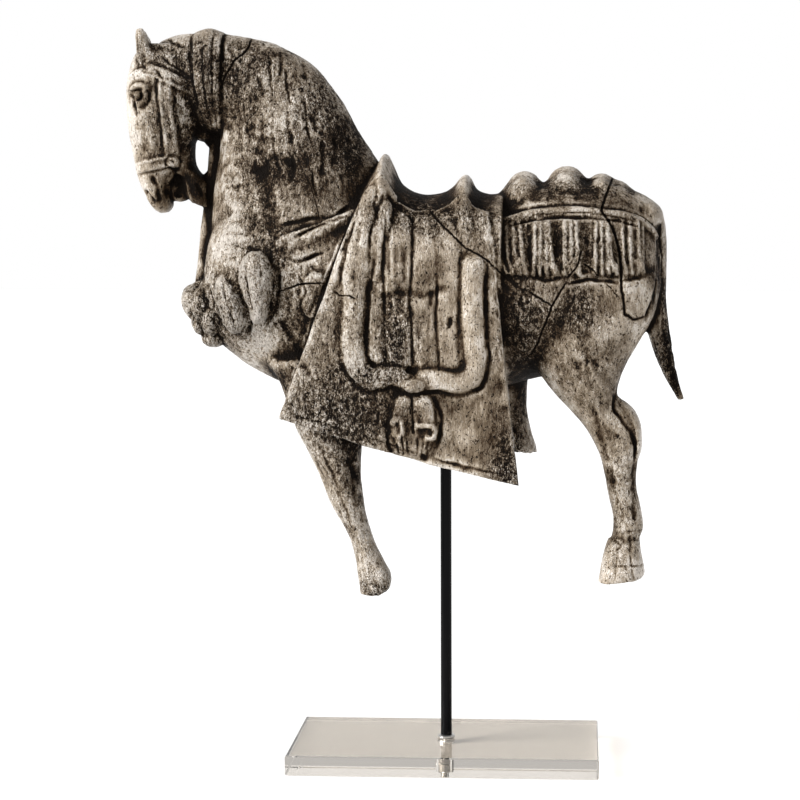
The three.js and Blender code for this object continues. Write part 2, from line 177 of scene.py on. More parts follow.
THROAT_STRAP = [
    (-167, 456, -150, 455, 6), (-167.5, 440, -155, 440, 5), (-170, 415, -158, 415, 5),
    (-173.5, 388, -160, 388, 5), (-177, 363, -160, 363, 5.5), (-180, 336, -162, 336, 6),
]
NEAR_FORELEG = [
    (-124, 289, -50, 297, 24), (-115, 274, -46, 284, 23), (-104, 243, -56, 243, 18),
    (-95.5, 226, -57.5, 226, 16), (-87, 207, -57.8, 206, 14), (-78, 186, -55, 186, 12),
    (-67, 165, -49, 164, 10), (-61.5, 146, -40.5, 146, 11), (-60, 138, -36.5, 138, 12.5),
    (-57.5, 128, -37.5, 130, 11.5), (-55, 122.5, -39, 127, 9),
]
FAR_FORELEG_STUMP = [
    (-118, 290, -55, 290, 22), (-108, 272, -60, 272, 19), (-102, 258, -66, 259, 16.5),
]
NEAR_HIND_LEG = [
    (48, 335, 150, 350, 22), (60, 300, 147, 325, 24), (68, 280, 139, 308, 22), (87, 258, 126, 285, 18),
    (99, 244, 121.5, 267, 14.5), (105, 234, 134, 256, 12.5), (109, 225, 138, 238, 12),
    (112.5, 211, 136, 216, 10.5), (115.5, 198, 136, 202, 10), (119, 184, 140, 184, 10.5),
    (119.5, 174, 141, 173, 11), (117.5, 166, 137.5, 165, 10.5), (114, 156, 140, 155, 13),
    (111.5, 142, 142, 142, 15.5), (110.5, 134.5, 141, 138.5, 15.5),
]
FAR_HIND_STUMP = [
    (45, 330, 130, 330, 22), (34, 298, 95, 302, 22), (31, 276, 62, 283, 18), (32, 258, 57, 259, 15),
    (35, 240, 60, 238, 13.5), (39, 222, 66, 219.5, 13),
]
TAIL = [
    (128, 404, 126, 390, 10), (142, 403, 138, 388, 9), (152, 395, 143, 382, 9), (156, 375, 146, 372, 9),
    (156, 340, 145, 340, 9), (157.5, 318, 142, 316, 8.5), (161, 297, 147, 297, 7.5),
    (165.5, 276, 156, 277, 5), (169.5, 261.5, 165, 261, 2),
]
HOCK_TUFT = [
    (119, 268, 123, 265, 5), (121, 259, 132, 258.5, 8), (127, 250, 137.5, 249, 9.5),
    (131.5, 242, 139, 238, 9.5), (133.5, 232, 138.5, 229, 8.5), (133, 222, 136, 221, 6),
]

# The four loaves on the croup, each on a wider skirt and with a cheek on both sides: x, top z, half length
LOAVES = [(56, 423, 12.5), (85.5, 426, 14), (110, 421.5, 11), (121, 416.5, 12)]
LOAF_WIDTH, SKIRT_WIDTH, SKIRT_RIM, LOAF_HEIGHT = 17, 30, 6, 14
CHEEK, CHEEK_Y = 8, 15
croup = [lump((88, 0, 396), (62, 38, 18)), lump((143, 0, 390), (11, 24, 12))]
for x, top, half in LOAVES:
    croup.append(lump((x, 0, top - LOAF_HEIGHT), (half, LOAF_WIDTH, LOAF_HEIGHT)))
    croup.append(lump((x, 0, top - 1.5 * LOAF_HEIGHT), (half + SKIRT_RIM, SKIRT_WIDTH, LOAF_HEIGHT)))
    for side in (NEAR, FAR):
        croup.append(lump((x, side * CHEEK_Y, top - 1.5 * CHEEK), (0.66 * half, CHEEK, CHEEK)))

# How fine the bodies are melted: the bare horse under its harness, and the head, whose forms are smaller
BARE_VOXEL, HEAD_VOXEL = 2.4, 1.5
bare_bodies = [
    loft(TRUNK, squareness=2.25, sides=64),
    loft(NECK, sides=56),
    loft(NEAR_FORELEG, y=NEAR * FORELEG_Y),
    loft(FAR_FORELEG_STUMP, y=FAR * FORELEG_Y),
    loft(NEAR_HIND_LEG, y=NEAR * HIND_LEG_Y),
    loft(FAR_HIND_STUMP, y=FAR * HIND_LEG_Y),
    *croup,
]
bare = melt(bare_bodies, BARE_VOXEL, soften=7)
head = melt([loft(HEAD, squareness=2.4)], HEAD_VOXEL, soften=3)
# A place beside the horse, clear of it, from which its skin is looked for
CLEAR_OF_HORSE = 500


def skin_finder(mesh):
    """Finds Y on a mesh's skin, seen square on from one side, at places of the side view."""
    bm = as_bmesh(mesh)
    tree = BVHTree.FromBMesh(bm)
    bm.free()

    def find(side):
        def at(x, z):
            starts = [Vector((a, side * CLEAR_OF_HORSE, b)) for a, b in zip(x, z)]
            hits = [tree.ray_cast(start, Vector((0, -side, 0)))[0] for start in starts]
            return np.array([hit.y if hit else 0.0 for hit in hits])

        return at

    return find


# Saddle and its cloth
# They are cast in one with the horse: a saddle with a high pommel and cantle, and a stiff cloth that hangs
# down each side. On the show side it carries a rolled cover with folds inside its loop and a knotted cord.
# Half the cloth's width over the horse, its thickness, and how much thicker it is at its top
CLOTH_HALF, CLOTH_THICKNESS, CLOTH_ROOT = 57.3, 5, 8
# The cloth bends over at its shoulder and flares below it, by millimetres for each millimetre down
CLOTH_SHOULDER_Z, CLOTH_SQUARENESS, CLOTH_FLARE = 350, 2.5, 0.031
SEAT = [
    (-56, 412), (-48, 425), (-42.5, 434.5), (-38, 428), (-31, 413.5), (-18, 406.5), (-2, 407),
    (6, 411.5), (12.5, 419), (17, 419), (22, 410), (31, 406.5), (41.5, 407),
]
saddle = loft([(x, 300, x, z, BARREL_HALF + 1.5) for x, z in SEAT], squareness=CLOTH_SQUARENESS, sides=48)
seat_x, seat_z = np.array(SEAT).T


def cloth_half(x, z):
    """How far out the cloth lies: rounded over the shoulder, then hanging and flaring a little."""
    hanging_half = CLOTH_HALF + (CLOTH_SHOULDER_Z - z) * CLOTH_FLARE
    top = np.interp(x, seat_x, seat_z) + CLOTH_THICKNESS
    rise = np.clip((z - CLOTH_SHOULDER_Z) / (top - CLOTH_SHOULDER_Z), 0, 1)
    rounded = CLOTH_HALF * (1 - rise**CLOTH_SQUARENESS) ** (1 / CLOTH_SQUARENESS)
    return np.where(z < CLOTH_SHOULDER_Z, hanging_half, rounded)


def on_cloth(side):
    """The cloth's outer face on one side, which gives Y at places of the side view."""
    return lambda x, z: side * cloth_half(np.asarray(x, float), np.asarray(z, float))


# The flap's corners in the side view, how far its top is tucked under the seat, and its hem's sag
FRONT_TOP, FRONT_HEM, BACK_TOP, BACK_HEM = (-44, 433), (-111, 252.5), (31, 406), (54, 207)
TUCK, HEM_SAG = 13, 2.5


def flap(side, shrink):
    """One flap of the cloth, wider at its hem. shrink draws in its lower corners."""
    bm = bmesh.new()
    bmesh.ops.create_grid(bm, x_segments=64, y_segments=80, size=0.5)
    bmesh.ops.extrude_face_region(bm, geom=bm.faces[:], use_keep_orig=True)
    count = len(bm.verts) // 2
    sheet = np.array([vert.co for vert in bm.verts])
    across, down = (sheet[:, 0] + 0.5)[:, None], ((0.5 - sheet[:, 1]) ** 1.5)[:, None]
    front = FRONT_TOP + (np.add(FRONT_HEM, (shrink, shrink / 2)) - FRONT_TOP) * down
    back = BACK_TOP + (np.add(BACK_HEM, (-shrink, shrink)) - BACK_TOP) * down
    place = front + (back - front) * across
    x, z, across, down = place[:, 0], place[:, 1], across[:, 0], down[:, 0]
    seat = np.interp(x, seat_x, seat_z)
    z = z + (seat - TUCK - z) * (1 - down) ** 6 - HEM_SAG * np.sin(np.pi * across) * down
    depth = np.where(np.arange(len(sheet)) < count, 0, CLOTH_THICKNESS + CLOTH_ROOT * (1 - down))
    return place_vertices(bm, np.stack([x, side * (cloth_half(x, z) - depth), z], 1))


RING_SPACING = 1.2


def bar(points, face, width, height, lift=0.0, squareness=2.0, ends=1.0, sides=16):
    """A bar along a line of the side view that lies on a face and rises from it by its height. Its ends are
    round where ends is 1 and square where it is 0. A third number in a point scales its width there."""
    points = np.array([(*point, 1.0)[:3] for point in points], float)
    length = np.hypot(*np.diff(points[:, :2], axis=0).T).sum()
    bm, place = sleeve(sides, max(8, int(length / RING_SPACING)))
    steps, ring = np.unique(np.round(place[:, 2] + 0.5, 5), return_inverse=True)
    t = 0.5 - 0.5 * np.cos(np.pi * steps)
    line = rail(points)(t)
    run = np.gradient(line[:, :2], axis=0)
    run /= np.hypot(*run.T)[:, None] + 1e-9
    along = np.concatenate([[0], np.cumsum(np.hypot(*np.diff(line[:, :2], axis=0).T))])
    near_end = np.clip(np.minimum(along, along[-1] - along) / (width / 2), 0, 1)
    rounding = 1 - ends + ends * np.sqrt(np.maximum(1 - (1 - near_end) ** 2, 0.0004))
    y = face(line[:, 0], line[:, 1])
    side = 1 if y.mean() > 0 else -1
    y = np.convolve(np.pad(y, 2, mode="edge"), np.ones(5) / 5, mode="valid") + side * lift
    reach = (corner(place[:, 0], squareness) * width / 2) * (rounding * line[:, 2])[ring]
    rise = corner(place[:, 1], squareness) * height * rounding[ring]
    x = line[ring, 0] - run[ring, 1] * reach
    z = line[ring, 1] + run[ring, 0] * reach
    return place_vertices(bm, np.stack([x, y[ring] + rise, z], 1))


ROLL = [
    (-47, 398, 0.75), (-53, 365, 1.1), (-58.5, 335, 1), (-59.5, 305), (-56, 288), (-46, 281), (-31, 282),
    (-19, 276.5, 0.9), (-7, 280), (10, 277.5), (19.5, 280.5), (24.5, 291), (22.8, 315), (22, 340),
    (23.5, 366),
]
near_cloth = on_cloth(NEAR)
# The roll, four folds inside its loop, two more along its front, and the knot below
cover = [
    bar(ROLL, near_cloth, 17, 5.2, lift=-1, squareness=2.2),
    bar([(-42, 352, 0.7), (-43.2, 330), (-43.4, 310), (-43, 290)], near_cloth, 15, 1.7),
    bar([(-29, 394, 0.8), (-29.5, 365), (-28.8, 335), (-28, 284)], near_cloth, 24, 2.2),
    bar([(-10, 394, 0.8), (-9.5, 365), (-10.5, 330), (-9.5, 285)], near_cloth, 23, 1.9),
    bar([(1, 396, 0.9), (3, 375), (5.4, 350), (5.8, 320), (6.5, 286)], near_cloth, 21, 1.7),
    bar([(-46, 412, 0.6), (-54, 385), (-60, 355, 0.9), (-62, 330, 0.5)], near_cloth, 15, 4),
    bar([(-36, 402, 0.6), (-42, 375), (-47, 345, 0.8)], near_cloth, 13, 2.6),
    lump((-18, NEAR * (float(cloth_half(-18.0, 276.0)) + 3.6), 276), (7.6, 3.8, 4.6)),
]
# The cord below the knot: a broad tail between its two ends, a curl on either side, and the fringe. Each is
# a line, its width and its height.
TASSEL = [
    ([(-18, 270, 0.6), (-18, 256, 0.95), (-18, 240), (-18, 227.5, 0.75)], 28, 2.8),
    ([(-25, 269, 0.8), (-26, 257), (-27.5, 238, 1.0)], 12, 3.2),
    ([(-12, 269, 0.8), (-10.5, 257), (-9, 238)], 13, 3.2),
    ([(-33, 248), (-30, 253), (-26.5, 250), (-26, 243), (-30, 239.5)], 4.6, 4.3),
    ([(-19, 247.5), (-11, 248.5), (-4.5, 247), (-4.5, 240.5), (-11, 240)], 4.6, 4.3),
    ([(-18, 241, 0.9), (-18, 233), (-18, 226, 0.8)], 25, 3.0),
]
tassel = [bar(line, near_cloth, width, height, squareness=2.6) for line, width, height in TASSEL]
flaps = [flap(NEAR, 0), flap(FAR, 12)]

# Harness
# It is modelled in low relief on the skin and cast with it: a crupper strap with fringed pendants round the
# rump, a breast strap with pear-shaped pendants, a headstall, and a collar of three bands behind the ears.
bare_with_tail = melt([as_bmesh(bare), loft(TAIL, sides=20)], BARE_VOXEL, soften=1)
skin, head_skin = skin_finder(bare_with_tail), skin_finder(head)

CRUPPER = [
    (36, 384.5), (50, 389), (62, 392.5), (78, 394.5), (92, 394.5), (110, 393), (125, 391), (135, 388),
    (143, 382), (148, 375),
]
# Each pendant's strands, from left to right: x at the strap, x half way, x at the hem
PENDANTS = [
    [(41, 42, 46), (45, 46, 50), (49, 51, 54.5), (53.5, 56, 59)],
    [(64.5, 64.5, 63.5), (68, 68, 68), (71.5, 72.5, 73), (73.5, 76, 79)],
    [(84.5, 85, 85), (88.5, 89, 89.5), (92, 94, 95)],
    [(106, 106, 105.5), (109.5, 110, 110.5), (113, 114, 116), (114, 117, 121)],
    [(124, 125, 127), (129, 129.5, 131), (133.5, 134, 135), (138, 138, 138.5)],
]
PENDANT_TOP, PENDANT_BEND, PENDANT_HEM = 390, 364, 351
PENDANT_WIDTH, FOOT_WIDTH, STRAND_WIDTH, STRAND_HEIGHT = 12, 8.5, 3.2, 2.5


def crupper_dress(side):
    """The strap and its pendants, each a thin backing with a foot and strands on it."""
    face = skin(side)
    made = [bar(CRUPPER, face, 6.6, 2.6, squareness=3, ends=0.3)]
    for strands in PENDANTS:
        left, right = strands[0], strands[-1]
        at_top, at_bend, at_hem = [((a + b) / 2) for a, b in zip(left, right)]
        spread = (right[2] - left[2] + 6) / PENDANT_WIDTH
        bend = (at_bend, PENDANT_BEND)
        backing = [(at_top, PENDANT_TOP, 0.85), (*bend, 0.95), (at_hem, PENDANT_HEM + 3, spread)]
        made.append(bar(backing, face, PENDANT_WIDTH, 1.3, squareness=3.4, ends=0.2))
        foot = [(*bend, 0.6), (at_hem, PENDANT_HEM + 6), (at_hem, PENDANT_HEM + 1, 1.15)]
        made.append(bar(foot, face, FOOT_WIDTH * spread, 2.4, squareness=3))
        for top, half_way, hem in strands:
            line = [(top, PENDANT_TOP - 1, 0.85), (half_way, PENDANT_BEND, 0.9), (hem, PENDANT_HEM, 1.05)]
            made.append(bar(line, face, STRAND_WIDTH, STRAND_HEIGHT, ends=0.8, sides=12))
    return made


BREAST_STRAP = [(-114, 370), (-92, 376.5), (-75, 383), (-56, 391)]
LAPPET = [(-85, 352, 0.8), (-88, 338, 1.1), (-91, 322, 0.5)]
OUTER_PEAR_Y, INNER_PEAR_Y, FRONT_PEAR_Y = 48, 41, 9
OUTER_PEAR = [
    (-131, 367, -124, 367, 4), (-137, 360, -118, 361, 8), (-139, 350, -114.8, 352, 10),
    (-137, 338, -116.2, 339, 10), (-133, 328, -118, 329, 8.5), (-131.5, 321, -119.5, 322, 6.5),
    (-129.5, 317.5, -121.5, 318, 2.5),
]
INNER_PEAR = [
    (-154, 350, -151, 350.5, 1.5), (-156, 347.5, -149, 348, 4), (-157.5, 341, -145, 344, 7.5),
    (-157, 333, -139.5, 337, 9.5), (-153.5, 324, -136, 328, 10.5), (-150, 315, -135.5, 318, 8.5),
    (-147, 311, -139, 312.5, 5), (-144.5, 309.5, -141.5, 310.5, 1.5),
]


def breast_dress(side):
    """The breast strap with a short lappet below it, and two of its pear-shaped pendants."""
    outer = loft(OUTER_PEAR, y=side * OUTER_PEAR_Y)
    inner = loft(INNER_PEAR, y=side * INNER_PEAR_Y)
    lappet = bar(LAPPET, skin(side), 15, 2.2, squareness=3, ends=0.3)
    strap = bar(BREAST_STRAP, skin(side), 13, 1.4, squareness=3, ends=0.6)
    return [strap, outer, inner, lappet]


FRONT_PEAR = [
    (-178, 344, -171, 346, 5), (-186, 334, -168, 340, 11), (-186, 324, -163, 331, 12.5),
    (-179, 315, -159, 322, 10.5), (-172, 308, -156, 313, 9), (-169.5, 303, -155.5, 306, 8),
    (-166, 299.5, -159, 300.5, 4.5),
]
# Further lumps of the front pendant, which hangs towards the show side: middle and half sizes
FRONT_LUMPS = [
    ((-178.5, -14, 331), (8, 11, 12)), ((-170, -20, 328), (8.5, 11, 14)), ((-163, -24, 319), (7.5, 10, 12)),
    ((-172, -16, 318), (8, 10, 11)), ((-163, -17, 305), (9, 10, 6.5)), ((-166, -20, 341), (6, 9, 7)),
]
COLLAR = [(-157, 446, -156, 519.5, 25.5), (-165, 448, -166, 523, 26.5), (-171, 450, -176, 520.5, 24)]
# The cheek strap runs from a knot at the brow to a rosette at the bit
KNOT_X, KNOT_Z, BIT_X, BIT_Z = -194.5, 488, -191, 429.5
CHEEK_BENDS = [(-194, 470), (-192, 450)]
BROW_STRAP = [(-208, 493.5), (-196, 489), (-185, 484), (-174, 478)]


def headstall(side):
    """A cheek strap and a noseband with two raised edges each, and a brow strap with one."""
    face = head_skin(side)
    rosette = (BIT_X, float(face([BIT_X], [BIT_Z])[0]), BIT_Z)
    knot = (KNOT_X, float(face([KNOT_X], [KNOT_Z])[0]), KNOT_Z)
    made = [bar([(KNOT_X, KNOT_Z), *CHEEK_BENDS, (BIT_X, BIT_Z)], face, 9.5, 1.9, squareness=3)]
    for edge in (-3.4, 3):
        line = [(KNOT_X, KNOT_Z), *CHEEK_BENDS, (BIT_X, BIT_Z + 3)]
        made.append(bar([(x + edge, z) for x, z in line], face, 3, 2.3))
    made.append(bar(BROW_STRAP, face, 8.5, 1.9, squareness=3))
    made.append(bar([(x, z - 3.6) for x, z in BROW_STRAP], face, 2, 2.9))
    made += [
        bar([(BIT_X, BIT_Z), (-204, 427), (-219, 424)], face, 7.6, 1.5, squareness=3.5),
        bar([(-192, 432.5), (-204, 430.2), (-219, 427)], face, 2.2, 2),
        bar([(-192, 426.5), (-204, 423.8), (-219, 421)], face, 2.2, 2),
        lump(rosette, (4.8, 4.6, 4.8)),
        lump(knot, (4.4, 3.2, 3.6)),
        lump((knot[0] - 0.6, knot[1], knot[2] - 8), (3.8, 2.8, 4.4)),
    ]
    return made


# Eyes, ears and the forms that join the body
# All of them are modelled in the same clay and cast with the horse: deep eyes, short pricked ears, an open
# mouth, and the opening between the jaw and the throat strap.
EYE_X, EYE_Z = -214.3, 475.2


def eye(side):
    """A small eyeball under a heavy upper lid and brow, with a thick lower lid curling round behind it."""
    face = head_skin(side)
    y = float(face([EYE_X + 3], [EYE_Z])[0])
    return [
        lump((EYE_X, y + side * 0.5, EYE_Z), (1.9, 2.8, 1.9)),
        bar([(-221.5, 476.5), (-216.5, 480.8), (-210.5, 481.4), (-206.5, 479)], face, 3.6, 3.2),
        bar([(-209.6, 479.4), (-208.2, 475), (-209.8, 470.9), (-214.6, 468.9)], face, 3.2, 2.0),
        bar([(-221.5, 483, 0.7), (-215, 488), (-207.5, 488), (-200.5, 482.5, 0.7)], face, 9, 1.5),
    ]


EAR = [
    (-218, 497, -191, 496, 6.5), (-218, 504, -203.5, 505, 6), (-218.3, 511, -208.5, 511.5, 5),
    (-218.8, 517, -211.2, 518, 4.2), (-218.2, 521.6, -213.3, 522.2, 2.2),
]

# The two ears are not quite abreast
EAR_SHIFT = -2


def ear(side):
    """A pricked ear, a little before or behind the other one."""
    shift = side * EAR_SHIFT
    ribs = [(x1 + shift, z1, x2 + shift, z2, half) for x1, z1, x2, z2, half in EAR]
    return loft(ribs, y=side * EAR_Y)


front_pear = loft(FRONT_PEAR, y=NEAR * FRONT_PEAR_Y)
dress = [saddle, *flaps, *cover, *tassel, front_pear, loft(COLLAR, sides=56)]
dress += [lump(middle, half) for middle, half in FRONT_LUMPS]
for side in (NEAR, FAR):
    dress += [*crupper_dress(side), *breast_dress(side), *headstall(side), *eye(side), ear(side)]
# The mouth is a hollow in each cheek, closed by the tongue in the middle
tongue = lump((-189, 0, 411), (10.5, 6, 10))
# The hoof and the broken foreleg end in flat faces with firm edges
HOOF = [
    (116, 166, 138, 165, 10.5), (113.4, 158, 139, 158, 13.5), (111, 148, 139.8, 149, 15.2),
    (108.8, 135, 139.6, 138.6, 15.8),
]
BROKEN_FORELEG = [
    (-61.5, 148, -41, 146, 10), (-60.8, 139, -37.8, 140, 12), (-59.8, 131, -36.9, 135, 12),
    (-58.8, 124.5, -38, 128.8, 11.4),
]
feet = [
    loft(HOOF, y=NEAR * HIND_LEG_Y, squareness=2.7),
    loft(BROKEN_FORELEG, y=NEAR * FORELEG_Y, squareness=2.7),
]
# The opening behind the jaw is oval, so its corners are filled
opening_fills = [
    lump((-171, 0, 449), (8, 9, 6)),
    lump((-166.5, 0, 445.5), (5, 5, 6)),
    lump((-167, 0, 418.5), (5, 4, 4.5)),
]
strap = loft(THROAT_STRAP, squareness=3, sides=20)
limbs = [as_bmesh(head), loft(LOWER_JAW), tongue, *opening_fills, strap, loft(TAIL, sides=24)]
tuft = loft(HOCK_TUFT, y=NEAR * HIND_LEG_Y, sides=24)
# How fine the whole skin is melted, in millimetres
SKIN_VOXEL = 1.0
carved = melt([as_bmesh(bare), *limbs, *feet, tuft, *dress], SKIN_VOXEL, soften=1)
for mesh in (bare, head, bare_with_tail):
    bpy.data.meshes.remove(mesh)

# Carving
# The pattern for the mould was carved and modelled by hand. Each stroke is a line in the side view, its
# width and its depth, and a negative depth raises it.
CLOTH_STROKES = [
    ([(-65, 384), (-82, 342), (-98, 297), (-112, 256)], 3.4, -0.8),
    ([(-44, 365), (-47.5, 340), (-49.5, 318), (-49.5, 300), (-45, 288)], 4.2, 0.7),
    ([(-37, 388), (-38.5, 360), (-38, 335), (-37.6, 290)], 3.6, 0.9),
    ([(-19.5, 394), (-18.6, 370), (-19.6, 350), (-20.6, 330), (-19, 310), (-18.6, 287)], 3.6, 0.9),
    ([(-1.6, 350), (-2, 335), (-3, 320), (-1.2, 300), (-0.4, 287)], 3.6, 0.9),
    ([(-40, 336), (-25, 340), (-8, 338), (5, 343)], 9, 0.9),
    ([(13, 366), (13.4, 352), (12.8, 330), (12.4, 310), (13.5, 290)], 4.2, 0.7),
    ([(-69, 292), (-63, 281), (-52, 270.8), (-42, 272), (-32, 275), (-24, 270)], 5.5, 1.1),
    ([(-12, 271), (0, 272), (10, 269), (20, 271), (29, 276), (33, 292), (32, 315), (31.5, 340),
      (32.5, 360)], 5.5, 1.1),
    ([(-23, 288), (-16.5, 284)], 6, 2.4),
    ([(-56, 402), (-63, 376), (-68, 352)], 5, 1.2),
    ([(-40, 405), (-47, 380), (-48, 360)], 4, 1.2),
    ([(-37, 414), (-32, 401), (-20, 395), (-5, 394), (6, 398), (13, 406)], 9, 1.3),
    ([(33, 402), (35, 370), (38, 340), (41, 315), (43, 290)], 3.6, 0.8),
    ([(-103, 256), (-70, 246), (-30, 234), (0, 224.5), (20, 220), (49, 213)], 3.2, 0.6),
    ([(-19.2, 270), (-18.6, 258), (-18, 244)], 2.8, 1.9),
    ([(-35, 262), (-36.5, 246), (-35, 234), (-28, 226), (-17, 224), (-6, 227), (-1, 238), (1, 254),
      (-3, 266)], 5, 1.6),
    *[([(x, top), (x - (x + 18) * 0.1, 227)], 2.0, 0.9) for x, top in (
        (-29.5, 236), (-26, 243), (-22.5, 238), (-15, 240), (-11.6, 236), (-8, 238),
    )],
    ([(-60, 388), (-66, 360), (-72, 338)], 7, 0.8),
    ([(-33, 380), (-32, 340), (-31, 300)], 5, -0.5),
    ([(-25, 370), (-24, 345)], 6, 0.7),
    ([(-28, 345), (-26, 336)], 9, 0.8),
    ([(-7, 340), (-6, 330)], 7, 0.8),
    ([(7, 322), (6, 315)], 5, 1.0),
]
RUMP_STROKES = [
    ([(62, 350), (72, 347.5), (82, 349)], 4, 1.2),
    ([(88, 345), (100, 347.5), (110, 347), (121, 346)], 4, 1.1),
    ([(91, 357), (96, 351), (104, 352)], 6, -0.8),
    ([(124, 347), (138, 349)], 4, 0.8),
    ([(44, 352), (52, 344), (60, 336)], 5, 1.0),
    ([(46, 392.5), (62, 397), (78, 399), (92, 399), (110, 397.5), (126, 395), (138, 390), (147, 383)],
     3.6, 1.1),
    ([(48, 384.5), (62, 388.5), (78, 390), (92, 390), (110, 389), (124, 387), (134, 384)], 2.8, 1.3),
    ([(62, 392), (92, 393.4), (112, 392), (134, 387.4)], 2, 0.7),
    ([(78.5, 387), (79.5, 376), (81, 364)], 7.5, 1.0),
    ([(99, 387), (100, 372), (101, 354)], 8.5, 1.0),
    ([(118.5, 386), (120.5, 370), (124, 358)], 6, 0.9),
    ([(60, 386), (60.5, 370), (62, 354)], 5, 1.0),
    ([(133, 382), (134, 366), (133, 354)], 5, 1.2),
    *[([(x, 357), (x + 0.6, 350)], 2.2, 1.3) for x in (65.5, 70, 74.5, 107.5, 112, 116.5)],
    ([(46, 402), (70, 404), (100, 404), (128, 400)], 12, 1.2),
    ([(150, 384), (150, 350), (147, 335), (141, 320)], 6, 2.2),
]


ROSETTE_X, ROSETTE_Z, ROSETTE_RADIUS = -190.8, 429, 5.4


def rosette_edge(turn):
    """A point beside the rosette's rim in the side view, at a turn in radians."""
    return ROSETTE_X + ROSETTE_RADIUS * math.cos(turn), ROSETTE_Z + ROSETTE_RADIUS * math.sin(turn)


HEAD_STROKES = [
    ([(-211.6, 478.2), (-211.0, 475), (-212.2, 472.2), (-215, 471.6)], 2.2, 2.2),
    ([(-220.5, 477), (-215, 478.4), (-211.4, 478.2)], 2.2, 2.0),
    ([(-219.5, 475.6), (-217.6, 472.4)], 3.6, 2.2),
    ([(-217.6, 471), (-217, 466.5), (-215.6, 461.5)], 4.4, 2.8),
    ([(-215, 466.6), (-209.6, 466.8), (-205.8, 471), (-205.2, 477)], 2.8, 0.6),
    ([(-212, 491.4), (-204, 489.5), (-198, 483)], 2.8, 0.5),
    *[([rosette_edge(start), rosette_edge(start + 1.1), rosette_edge(start + 2.2)], 2.2, 0.5)
      for start in (0, 2.1, 4.2)],
    ([(-191.6, 430), (-190, 428)], 3, 2.0),
    ([(-201, 493.5), (-195.5, 485)], 2.2, 1.2),
    ([(-211, 463), (-206.5, 450), (-203.5, 438)], 9, -0.9),
    ([(-217, 458), (-213, 445), (-210.5, 434)], 8, 0.7),
    ([(-194, 478), (-192, 458), (-190.4, 438)], 2.4, 0.4),
    ([(-201, 482), (-199.6, 465), (-197.8, 440)], 3.2, 0.6),
    ([(-188.3, 478), (-186.6, 462), (-185.2, 440)], 3.4, 0.7),
    ([(-220, 419.5), (-205, 422), (-193, 424.5)], 3, 0.9),
    ([(-213, 408.5), (-209, 405), (-205, 400.5)], 6, 3.8),
    ([(-209, 410.5), (-204.6, 407), (-203.2, 399)], 2.2, -1.2),
    ([(-206.5, 419), (-202.8, 411), (-201.6, 401)], 5, 2.8),
    ([(-190.5, 417), (-190, 410), (-189.5, 403)], 11, 2.8),
    ([(-196, 403), (-196, 412), (-193, 419.5), (-188, 422), (-183.5, 418.5), (-180.5, 410), (-178.5, 401)],
     4, -1.6),
    ([(-175, 414), (-172, 405)], 3.4, 1.2),
    ([(-215.4, 519.5), (-215.2, 512), (-214.4, 504)], 3, 2.4),
    ([(-212.6, 519), (-212.6, 507), (-211.8, 495)], 3, -0.9),
    ([(-178.5, 520), (-177, 495), (-172.5, 470), (-168, 452)], 3.6, 1.0),
    ([(-168.3, 523), (-167.5, 495), (-165.5, 470), (-162.5, 450)], 2.6, 0.8),
    ([(-161.7, 522), (-161, 495), (-160.3, 470), (-159.3, 452)], 2.6, 0.7),
    ([(-155, 521), (-154.5, 495), (-155, 465)], 4, 0.9),
    ([(-198, 503), (-191, 497), (-181, 490), (-174, 484)], 3.4, 0.8),
    ([(-203, 512), (-198, 508), (-190, 506)], 4, 1.0),
    ([(-196, 515), (-188, 511), (-181, 508)], 4, 1.0),
]
NECK_STROKES = [
    ([(-132, 470), (-127, 435), (-121, 400), (-113, 368), (-108, 352)], 22, 1.5),
    ([(-152, 455), (-147, 420), (-142, 385), (-138, 345)], 30, -1.6),
    *[([(x, top), (x + 1.5, (top + low) / 2), (x + lean, low)], width, 1.0) for x, top, low, lean, width in (
        (-122, 504, 477, 3, 3.2), (-115, 506, 487, 1, 4.6), (-129, 486, 474, 4, 5.5),
        (-96, 470, 440, 5, 3.0), (-84, 442, 419, 1, 5.0), (-107, 450, 440, 2, 6.5),
        (-118, 447, 425, 5, 3.6), (-104, 432, 416, 0, 4.4), (-90, 420, 404, 4, 3.2),
        (-76, 446, 425, -1, 5.2), (-137, 452, 440, 3, 4.0), (-110, 492, 468, 4, 2.8),
        (-99, 500, 486, 2, 5.0), (-91, 460, 450, 3, 5.4),
    )],
    ([(-119, 432), (-109, 430), (-100, 424)], 9, 1.0),
    ([(-110, 385), (-90, 389.5), (-76, 391), (-64, 398)], 5, 2.2),
    ([(-100, 377), (-85, 384.5), (-66, 391.5)], 4.5, 2.4),
    ([(-106, 362.5), (-97, 360.5), (-83, 366)], 5, 2.2),
    ([(-113, 362), (-111.5, 345), (-114, 328), (-121, 316.5)], 6, 2.4),
    ([(-134, 352), (-133, 340), (-131, 322), (-136, 308)], 5, 2.2),
    ([(-164.5, 344), (-160, 330), (-155, 314)], 5, 2.0),
    ([(-137, 352), (-134, 338), (-128, 325)], 3, 1.0),
    ([(-127, 356), (-124, 345), (-124, 335)], 4, -0.7),
    ([(-151, 345), (-148, 332), (-143, 318)], 3, 1.1),
    ([(-99, 352), (-93, 340), (-97, 330), (-92, 318)], 4, 1.2),
    ([(-96, 312), (-84, 336), (-72, 360), (-62, 382)], 7, 1.8),
    ([(-110, 318), (-100, 300), (-92, 285)], 9, 1.4),
]
